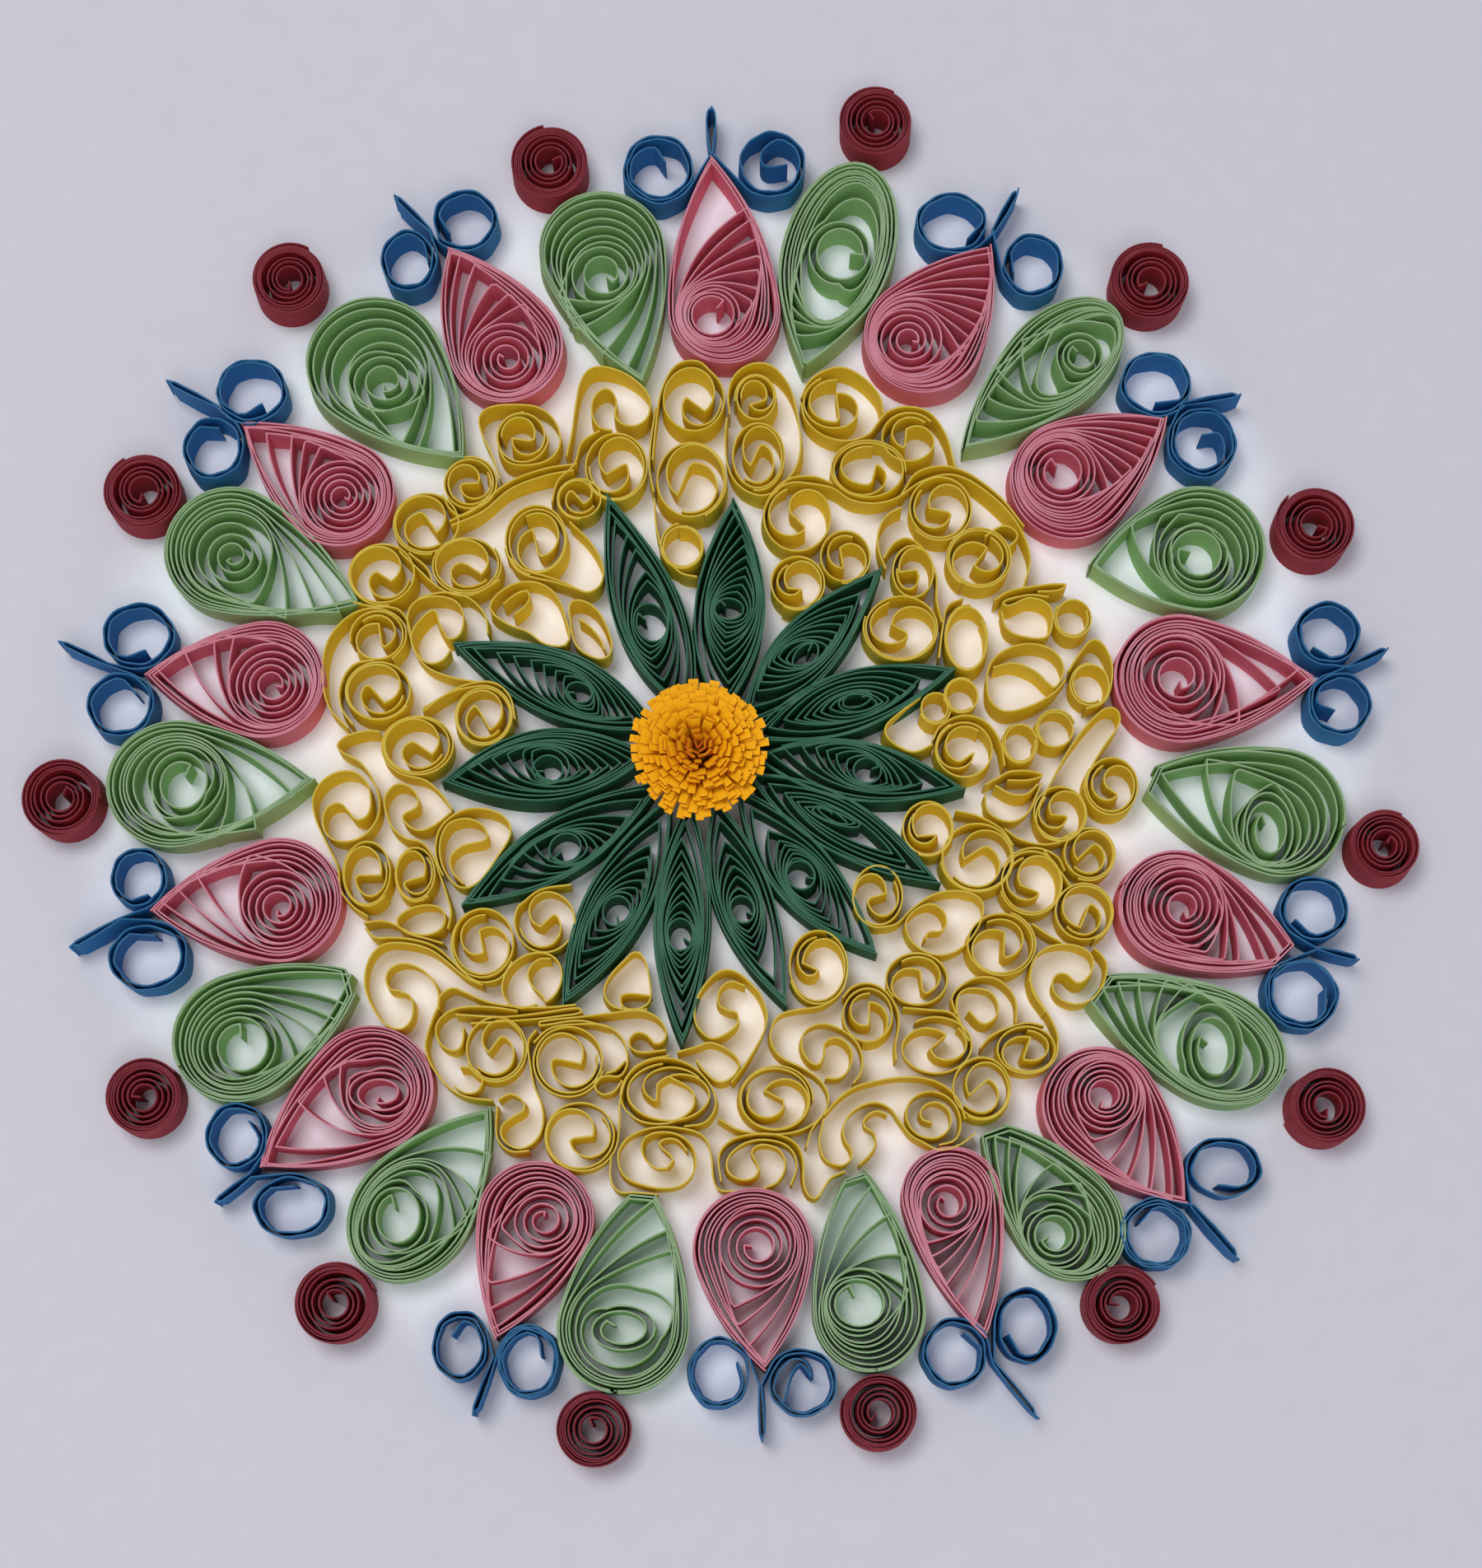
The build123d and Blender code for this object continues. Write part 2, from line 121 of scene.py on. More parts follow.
# Colours as on a screen: each paper's wall, its paler blotches, its cut edge and the edge's paler
# blotches
PAPER_TONES = {
    "maroon_paper": ((158, 36, 50), (168, 50, 60), (112, 34, 44), (132, 58, 68)),
    "pink_paper": ((224, 112, 134), (232, 136, 154), (188, 110, 126), (212, 154, 166)),
    "light_green_paper": ((156, 198, 128), (170, 210, 148), (128, 154, 114), (156, 180, 142)),
    "blue_paper": ((32, 112, 172), (46, 126, 184), (38, 90, 132), (66, 118, 156)),
    "dark_green_paper": ((24, 94, 58), (34, 106, 70), (46, 92, 70), (80, 120, 98)),
    "yellow_paper": ((238, 206, 18), (244, 216, 50), (198, 168, 54), (212, 188, 92)),
    "orange_paper": ((244, 172, 0), (250, 184, 6), (176, 76, 2), (206, 100, 4)),
}
CARD_TONE = (200, 199, 209)
CARD_PALE = (206, 205, 214)
# Painted light: the card's middle and ring tones are brighter and cooler than its own tone, standing in for
# the light that reaches the card between the strips
CARD_MIDDLE_PAINTED_LIGHT = (247, 247, 255)
CARD_RING_PAINTED_LIGHT = (236, 240, 250)
FLOOR_TONE = (214, 213, 220)
FLOOR_PALE = (220, 219, 226)

# Distances from the middle of the card at which its colour changes: painted light, brightest within the
# petals' ring and fading back to the card's own tone towards the outer coils
PETAL_RING = 50
LOOP_RING = 66
TEARDROP_RING = 78
COIL_RING = 92

# Paper's blotches and fibres: gloss, scale and detail of the noise, where the blotches begin and are
# full, and how strong and deep the fibres are in the surface, in metres
PAPER_SPECULAR = 0.25
BLOTCH_SCALE = 260
BLOTCH_DETAIL = 3
BLOTCH_FROM = 0.3
BLOTCH_FULL = 0.75
FIBRE_SCALE = 4200
FIBRE_DETAIL = 2
FIBRE_STRENGTH = 0.35
FIBRE_DEPTH = 0.00003

# Maroon coils as x, y, radius, turns, direction of the outer end in degrees, by the group they belong to
MAROON_COILS = {
    "top": [(21.0, 91.4, 5.2, 7.2, 60)],
    "upper_left": [(-24.8, 85.4, 5.5, 7.8, 100), (-60.9, 68.2, 5.2, 7.6, 60), (-80.2, 37.6, 5.4, 7.4, 120)],
    "left": [(-89.7, -5.4, 5.4, 7.2, 0)],
    "lower_left": [
        (-77.2, -45.8, 5.2, 7.4, 40),
        (-51.3, -72.9, 5.4, 7.3, 20),
        (-17.1, -89.2, 5.0, 7.1, 80),
    ],
    "lower_right": [
        (20.0, -87.0, 5.1, 7.2, 160),
        (52.0, -73.1, 5.2, 7.4, 30),
        (79.7, -47.0, 5.2, 7.2, 200),
        (88.7, -11.9, 4.9, 7.0, 60),
    ],
    "upper_right": [(80.7, 32.7, 5.5, 7.6, 130), (58.9, 67.9, 5.6, 7.4, 70)],
}
MAROON_LOOSE = 3.2
MAROON_HEART = 0.3
COIL_STEPS = 44
COIL_OPENING = 0.85
COIL_BEND = 0.75

# Teardrops as tip, middle of the round end, its radius along and across, the eye, the half width and half
# height of the loose coil there, its turns, the share of it that stays open, the corners at which the
# turns fold, and the second corner of a blunt tip
PINK_TEARDROPS = [
    ((-2.2, 86.5), (-0.3, 63.6), 7.9, 7.9, (-2, 63), 3.7, 3.7, 1.9, 0.68,
     [(2.8, 78.8), (3.4, 76.8), (4.4, 74.2), (4.7, 71.6), (4.6, 69.5), (4.4, 66.6), (3.6, 64.6)]),
    ((36.9, 73.4), (27.3, 59.9), 8.5, 8.5, (25.3, 59.3), 4.5, 4.5, 3, 0.27,
     [(36.8, 71.8), (36.8, 70), (36.7, 68.2), (36.5, 66.4), (36.1, 64.6), (35.6, 62.7), (35, 61),
      (34.2, 59.2), (32.5, 57.3)]),
    ((60.7, 48.4), (47.3, 39.3), 8.6, 8.6, (46, 40.3), 4.7, 4.7, 2.6, 0.5,
     [(60.3, 47.8), (59.5, 46.5), (58.5, 45), (58, 43.4), (57, 42), (56, 40.8), (54.5, 39.2), (52.5, 37.8)]),
    ((80.2, 11), (61.6, 11.2), 9.1, 9.1, (61.5, 11.5), 5.5, 5.5, 3, 0.33,
     [(79.6, 11.4), (77.8, 12.4), (75.3, 9.6), (69.3, 4.8), (65.3, 4.7), (62.5, 5.7)]),
    ((74, -28.3), (60.3, -20.3), 8, 8, (61.3, -20.3), 5.4, 5.4, 4, 0.28,
     [(73.9, -27.2), (72, -27.5), (68.6, -27.8), (66.5, -27.5), (64.3, -26.6), (63, -25.8)],
     (76.6, -25.8)),
    ((61, -60), (49.6, -46.9), 8, 8, (50.3, -45.6), 4.5, 4.5, 4, 0.35,
     [(58.8, -59.2), (56, -58.3), (53.3, -56.6), (50.5, -54.7), (48.5, -51.5)]),
    ((34.1, -77.6), (29.8, -59), 6.7, 6.7, (29.3, -59.9), 3.9, 3.9, 2.3, 0.34,
     [(32.6, -75.7), (30.3, -72.6), (28.9, -70.6), (27.8, -68.6), (27.1, -66.8), (26.3, -65)]),
    ((5.2, -81.9), (3.6, -65.8), 8.1, 8.1, (4.1, -65.5), 5.2, 5.2, 3.2, 0.32,
     [(4.9, -80.4), (3, -78.4), (1.4, -75.9), (0.8, -73.4)]),
    ((-30.1, -77.8), (-25, -62), 7.8, 7.8, (-24, -62.1), 3.9, 3.7, 2.3, 0.3,
     [(-30.3, -76.2), (-31, -73.7), (-31.2, -70.3), (-31.4, -64.2), (-29.6, -63)]),
    ((-61.6, -55.3), (-47.1, -44.8), 8.5, 8.5, (-45.8, -45.3), 4.3, 2.9, 1.7, 0.45,
     [(-61, -54.9), (-59.6, -52.4), (-56.5, -46.4), (-53.5, -42.8), (-51, -41.2), (-49.9, -43.5)]),
    ((-77.3, -20.9), (-60, -19.4), 8.6, 8.6, (-60, -20.2), 5, 5, 3.6, 0.26,
     [(-75.7, -19.6), (-73.7, -17.8), (-71.1, -15.9), (-63.9, -13.3)]),
    ((-79.2, 11.6), (-62.8, 10.9), 8.3, 8.3, (-61.7, 10.3), 5.7, 5.7, 4.4, 0.25,
     [(-77.7, 12.6), (-74.1, 15.4), (-69.8, 17), (-67, 17)]),
    ((-67.1, 47.2), (-53.3, 37.1), 7.7, 7.7, (-52.8, 36.8), 5.2, 5.2, 4.4, 0.2,
     [(-66.4, 46.6), (-63.3, 45.7), (-59.8, 45.7), (-58, 44.9), (-56, 44)]),
    ((-39, 72.9), (-30.6, 58.4), 8.2, 8.2, (-30.4, 56.5), 5.1, 5.1, 3.8, 0.25,
     [(-37.2, 71.8), (-35.1, 70.2), (-32.5, 67.5), (-30.1, 66), (-28, 64.6)]),
]
GREEN_TEARDROPS = [
    ((-11.5, 53.1), (-17.4, 72.3), 8.9, 8.9, (-17.2, 69), 4.4, 4.4, 1.7, 0.42,
     [(-13.8, 55.2), (-17, 57.2), (-21, 60.6), (-22, 62.2), (-23.3, 65.5)]),
    ((10.6, 54.9), (15.6, 72.5), 13.4, 8, (16, 72), 4.5, 4.9, 1.5, 0.66,
     [(9.6, 60), (9, 62), (9, 64.3), (9.2, 66.5), (9.6, 69), (10.5, 72.5)]),
    ((32.4, 43.4), (46.1, 56.4), 11, 7, (49, 57), 3.3, 3.3, 2, 0.5,
     [(34, 47.4), (35.8, 51), (36.8, 53.2), (37.4, 55.2), (41.2, 59.2), (45.6, 61.2)]),
    ((49.5, 26.9), (65, 29.3), 9, 9, (64.5, 28.5), 4.3, 4.3, 1.8, 0.6,
     [(55.5, 33), (60, 34), (62.3, 34.2), (64.5, 33)]),
    ((57.8, -1.1), (74.8, -7.4), 9, 9, (73, -9.9), 3.6, 5.3, 1.9, 0.5,
     [(58.9, -2.1), (65, -0.2), (69, -1.4), (74, -3.4)], (56.2, -4.4)),
    ((50.6, -29.4), (64.8, -38.8), 10.4, 7.8, (64.9, -39.4), 4.2, 6, 1.9, 0.5,
     [(50.2, -31.2), (52.4, -30.5), (55.2, -30), (58.8, -30.2), (61.5, -30.6), (63, -31.8)],
     (47.9, -32.8)),
    ((36.8, -49.3), (45, -62.1), 8.4, 7.3, (43.3, -64), 4.1, 4.1, 2.5, 0.45,
     [(35.5, -51), (37.7, -51.3), (39.2, -52.3), (43.5, -54.5), (46.7, -57.2), (47.5, -59), (48, -61.8)],
     (33.6, -50.4)),
    ((18.3, -55.2), (18.8, -74), 8, 7.6, (17.4, -73), 4.2, 3.7, 1.7, 0.7,
     [(19.3, -57.6), (21.7, -61.3), (23.7, -66.8), (23.9, -71.1), (23.5, -72.4)], (15.6, -56.1)),
    ((-9.4, -58.4), (-13.6, -76), 8.8, 8.8, (-13.7, -76.3), 4.6, 3, 1.7, 0.55,
     [(-9.2, -59.2), (-7.4, -63.3), (-6.7, -66), (-6.9, -73.7)], (-12.5, -58.1)),
    ((-31.2, -47), (-41.4, -60.9), 10, 8, (-43.3, -61.7), 3.9, 4.6, 1.6, 0.65,
     [(-31.2, -53.5), (-32.4, -59.9), (-34.2, -62.4), (-35.8, -63.7), (-39.2, -65.1)]),
    ((-49.3, -31.8), (-64.5, -37.7), 9.5, 8.8, (-64.5, -39), 4.6, 4.6, 1.7, 0.62,
     [(-50.1, -29.5), (-50.7, -33.5), (-51.7, -35.7), (-53.7, -38.3), (-57.4, -40.7)], (-50.3, -28.5)),
    ((-55.4, -2.7), (-74.5, -3.4), 9.4, 8.8, (-73.6, -3.4), 4.1, 4.6, 1.5, 0.62,
     [(-58.3, -5), (-63.3, -9.6), (-68.7, -10.9), (-72.6, -10.4), (-75.7, -8)]),
    ((-49.7, 21.8), (-68.1, 29.4), 9, 9, (-67.5, 28.3), 3.8, 3.8, 2.2, 0.28,
     [(-50.4, 21.9), (-52.8, 20.4), (-56.2, 20.5), (-60.1, 19.8), (-64.8, 21.6)]),
    ((-35.9, 42.2), (-48.8, 56), 9.6, 9.6, (-47.3, 53.3), 4.9, 4.6, 2.2, 0.3,
     [(-37.4, 42.4), (-42.7, 43.4), (-44.8, 43.8), (-41.4, 51.8)]),
]

# Turns of a teardrop: tight outer ones, one fewer where this many folds follow, the step of their tips
# inward as share of their depth, the bulge of the sides in degrees and how soon it comes, the share of a
# turn that each side takes, and the limits for folds near the round end
TIGHT_TURNS = 3
MANY_FOLDS = 8
TEARDROP_STEPS = 72
TEARDROP_TIP = 1.8
SIDE_BULGE = 17
BULGE_ONSET = 1.5
SIDE_SHARE = 0.3
LEAST_REACH = 1.1
LEAST_ROOM = 0.3
BAND_TURN = 1.6
BAND_MOST = 0.92
FOLD_STRAY = 0.1

# Loose coil at the eye: points a turn, how it closes, and how far its end bends inward
EYE_STEPS = 40
EYE_CLOSING = 0.9
EYE_BEND = 0.6

# Dark-green petals as outer point, inner point, middle, half width there, eye, the coil's radius along
# and across the petal, and the corners at which the loose turns fold at the outer and the inner end
PETALS = [
    ((-16.6, 37.4), (-4.6, 5.6), (-10.8, 19.5), 4.9, (-10.3, 18.8), 2.9, 2.3,
     [(-16, 34.6), (-15.3, 33.4), (-13.6, 31.2), (-12.4, 29.3), (-11, 26.2), (-10.8, 24.8)],
     [(-7.2, 8), (-8, 9.7), (-9, 12), (-10, 13.4), (-10.3, 14.2), (-10.4, 15)]),
    ((0.8, 36.8), (-0.9, 5.2), (0.6, 21.0), 5.0, (0.3, 20.8), 1.6, 2.2,
     [(1.6, 34.8), (1.9, 33), (2.2, 31.3), (2.5, 29.8), (2.7, 28.2), (2.7, 26.8), (2.5, 25.4), (2.1, 24.2),
      (1.5, 23.2)],
     [(0.4, 9.5), (0.2, 11.5), (0, 13), (-0.2, 14.3), (-0.3, 15.4), (-0.2, 16.4), (0, 17.2), (0, 17.9),
      (0.1, 18.6)]),
    ((21.4, 27.0), (1.6, 4.2), (10.6, 15.2), 4.4, (10.7, 14.2), 2.4, 1.5,
     [(18.2, 22.9), (17.2, 21.2), (16.3, 19.9), (15.6, 18.6), (15, 17.5), (14.3, 16.4), (13.7, 15.6)],
     [(4, 8.7), (4.4, 10), (4.8, 11.2), (5.4, 12.2), (6, 13.2), (6.8, 13.9), (7.5, 14.3)]),
    ((31.4, 12.7), (2.8, 2.6), (17.3, 8.6), 4.4, (17.7, 8.2), 2.2, 1.1,
     [(26.2, 11.1), (25.5, 10), (24.5, 9.2), (23.3, 8.7), (22.3, 8.2), (21.3, 7.8), (20.4, 7.6)],
     [(7.4, 5.5), (8.6, 5.3), (10, 5.4), (11.2, 5.8), (12.4, 6.3), (13.4, 6.7), (14.5, 7.2)]),
    ((32.6, -4.1), (3.2, 0.4), (18.4, -1.5), 4.4, (19.0, -1.6), 1.9, 1.8,
     [(30, -3.8), (26.4, -3.3), (24.9, -3.5), (23.7, -3.7), (22.6, -3.7), (21.7, -3.4)],
     [(6.4, 1.8), (9, 1.6), (11.6, 1.6), (13, 1.2), (14.3, 0.8), (15.6, 0.2)]),
    ((29.1, -17.2), (2.4, -1.6), (15.6, -9.1), 4.0, (14.2, -7.9), 2.5, 0.6,
     [(26.6, -15.6), (24, -14.2), (22.2, -13), (18.4, -9.4), (17.5, -9)],
     [(7.6, -4.5), (8.2, -5), (9, -5.6), (10, -6.4), (11, -6.9)]),
    ((20.4, -26.9), (1.2, -3.6), (10.6, -17.0), 4.5, (10.0, -16.0), 2.2, 2.0,
     [(19.6, -26), (16.9, -24.8), (15.3, -23.5), (13.8, -22.2), (12.8, -21), (11.9, -19.8)],
     [(4.6, -8.8), (6.6, -10.8), (7.6, -11.7), (8.3, -12.3), (8.8, -12.8), (9.2, -13.3)]),
    ((8.2, -34.0), (-1.8, -5.0), (2.1, -20.0), 4.2, (2.2, -20.6), 2.0, 1.7,
     [(6.4, -30.2), (4.2, -26.8), (3.8, -25.5), (3.4, -24.5), (3, -23.7)],
     [(-0.4, -10.6), (0.2, -12.4), (0.8, -14.2), (1.3, -15.6), (1.6, -16.8)]),
    ((-5.8, -39.3), (-5.0, -5.4), (-6.2, -23.6), 4.0, (-6.1, -24.0), 2.2, 1.8,
     [(-5.9, -36.4), (-5.8, -33.6), (-5.8, -32.2), (-5.9, -31), (-5.9, -29.9), (-6, -28.8), (-6, -27.8),
      (-6.1, -27)],
     [(-6, -10.3), (-6, -12), (-6, -13.5), (-6, -15), (-5.9, -16.4), (-5.8, -17.7), (-5.8, -19),
      (-5.8, -20.2)]),
    ((-21.8, -33.8), (-7.2, -4.6), (-15.0, -20.8), 4.5, (-14.6, -20.8), 2.1, 1.9,
     [(-21.2, -32), (-20.1, -30), (-19.6, -28.4), (-19.2, -26.4), (-18.4, -24.6), (-17.4, -23.4)],
     [(-10.1, -11), (-10.4, -12.8), (-10.7, -14.4), (-11, -16.2), (-11.6, -17.3), (-12.3, -18.2)]),
    ((-35.7, -20.3), (-8.6, -3.2), (-22.8, -12.5), 4.25, (-21.6, -12.3), 2.3, 2.1,
     [(-33.5, -19.5), (-31.8, -18.9), (-30, -16.6), (-29, -14.6), (-27.6, -12.6), (-25.8, -11.6)],
     [(-13, -7.4), (-13.8, -8.8), (-14.8, -10.2), (-15.8, -11.3), (-16.8, -12), (-18, -12.4)]),
    ((-38.7, -3.3), (-9.6, 0.6), (-24.6, -0.8), 5.2, (-24.0, -1.6), 2.0, 1.9,
     [(-36.6, -2.3), (-35, -1.5), (-33.4, -0.7), (-31.6, 0), (-29.6, 0.6), (-27.6, 1), (-26.2, 0.9)],
     [(-12, 0), (-13.6, -0.4), (-15.2, -0.8), (-16.6, -1.1), (-18, -1.4), (-19.2, -1.6), (-20.6, -1.7)]),
    ((-37.4, 16.0), (-8.8, 3.8), (-22.8, 10.8), 4.7, (-19.9, 9.1), 1.9, 1.5,
     [(-34.4, 15.3), (-31.2, 14.7), (-28.9, 14.2), (-26.5, 13.6), (-24.8, 13), (-23.2, 12.2),
      (-21.9, 11.4)],
     [(-12.3, 5.9), (-13.6, 5.6), (-15, 5.5), (-16.3, 5.6), (-17.2, 6), (-17.8, 6.5), (-18.3, 7.1)]),
]

# Turns of a petal: the step of their tips inward, how full the sides are at the outside, how much fuller
# farther in and at the inner end, the last turn's width to the coil's, and the coil's turns and the share
# that stays open
PETAL_STEPS = 52
PETAL_TIP = 2.4
FULLNESS = 0.22
FULLNESS_GAIN = 0.3
INNER_ROUNDER = 0.12
COIL_SNUG = 1.08
WIDTH_STRAY = 0.03
PETAL_COIL_TURNS = 0.85
PETAL_COIL_OPEN = 0.85

# How far apart a blue scroll's two legs stand along its tail, as share of the tail's length and of the
# least gap: pressed together, or open like the eye of a needle
PRESSED_TAIL = ((0.12, 1.6), (0.55, 1.9), (1.0, 1.0))
OPEN_TAIL = ((0.02, 1.3), (0.1, 2.6), (0.28, 3.3), (0.5, 2.8), (0.75, 1.7), (1.0, 1.0))

# Blue scrolls as tail tip, place where the legs part, the loops as x, y, half width, half height, turns
# and the points of the loose inner end, and the tail's shape where it is open
BLUE_SCROLLS = {
    "right": [
        ((70.8, 51.4), (63.0, 50.0), (59.5, 53.1, 5.3, 4.9, 2.0, []),
         (65.6, 44.6, 4.9, 5.3, 1.6, [(68, 42), (68, 45.5), (65.5, 45.5)])),
        ((89.9, 15.3), (84.5, 12.8), (82.0, 17.4, 4.7, 4.7, 2.0, []),
         (83.3, 7.6, 4.6, 4.7, 2.1, [(82.5, 6.5)])),
        ((84.5, -27.3), (79.5, -26.0), (79.0, -20.6, 4.9, 4.7, 2.0, [(76.2, -22)]),
         (76.9, -32.0, 5.2, 5.1, 2.6, [])),
    ],
    "bottom": [
        ((67.3, -67.0), (61.5, -60.3), (66.0, -55.2, 5.3, 4.3, 1.8, [(65, -57.5)]),
         (56.8, -63.9, 4.9, 4.8, 2.4, [(54.5, -62.5)])),
        ((40.7, -87.5), (35.0, -80.5), (30.0, -79.5, 4.6, 4.8, 2.0, []), (39.3, -76.0, 4.2, 5.2, 1.8, [])),
        ((4.8, -90.5), (4.6, -83.5), (-0.8, -82.0, 4.4, 5.0, 2.0, [(1.5, -80.5)]),
         (10.0, -83.3, 4.8, 4.6, 2.0, [(11.3, -82.5), (9.5, -81), (7.5, -86)])),
        ((-32.8, -87.2), (-30.3, -80.0), (-34.8, -78.6, 3.9, 4.8, 1.8, [(-35.8, -77.3)]),
         (-25.8, -80.5, 4.3, 5.0, 2.5, [(-24, -80)])),
    ],
    "left": [
        ((-67.2, -59.7), (-62.8, -56.2), (-64.8, -51.1, 4.3, 4.7, 1.9, [(-63.2, -49)]),
         (-57.4, -60.2, 5.5, 4.4, 1.9, [])),
        ((-87.5, -25.8), (-81.0, -22.0), (-79.0, -16.4, 4.1, 4.5, 1.9, []),
         (-77.4, -27.0, 5.6, 4.9, 1.9, [])),
        ((-90.7, 16.2), (-84.0, 13.2), (-80.2, 17.2, 5.2, 4.7, 1.9, [(-79, 15)]),
         (-82.3, 7.5, 4.9, 4.8, 1.9, [(-80, 9)])),
    ],
    "top": [
        ((-77.2, 53.3), (-70.3, 49.6), (-65.8, 52.0, 5.3, 4.9, 1.9, [(-64, 50)]),
         (-70.8, 43.7, 4.5, 4.9, 1.8, [])),
        ((-46.3, 80.3), (-41.3, 75.3), (-36.6, 76.9, 4.9, 4.7, 1.9, []),
         (-44.3, 71.0, 4.1, 4.9, 1.9, [(-41.5, 70.5)])),
        ((-2.2, 93.4), (-2.2, 87.0), (-9.5, 84.4, 5.2, 5.3, 1.7, [(-10.5, 87.5), (-8.6, 85.3)]),
         (6.2, 85.2, 5.1, 5.2, 1.7, [(5.0, 87.0), (5.3, 84.8), (8.5, 85.0)]), OPEN_TAIL),
        ((40.6, 81.3), (37.3, 75.3), (31.5, 76.4, 5.4, 4.7, 1.9, []), (42.6, 70.3, 4.5, 4.9, 1.9, [])),
    ],
}

# Legs and loops of a blue scroll: the least gap between the legs in layers of paper, how far they pass
# the fold, the depth of a loop's turns, points a radian, the paper's kinks, and how the inner end leaves
# the loop
LEG_GAP = 0.9
TAIL_OVERLAP = 0.04
BLUE_BAND = 1.15
BLUE_STEPS = 7
BROAD_KINK = 0.016
BROAD_PITCH = 5
FINE_KINK = 0.01
FINE_PITCH = 9
FINE_DRIFT = 5
HOOK_SWING = 1.1
HOOK_EARLY = 1.5
STUB_SWING = 0.9
STUB_REACH = 0.62

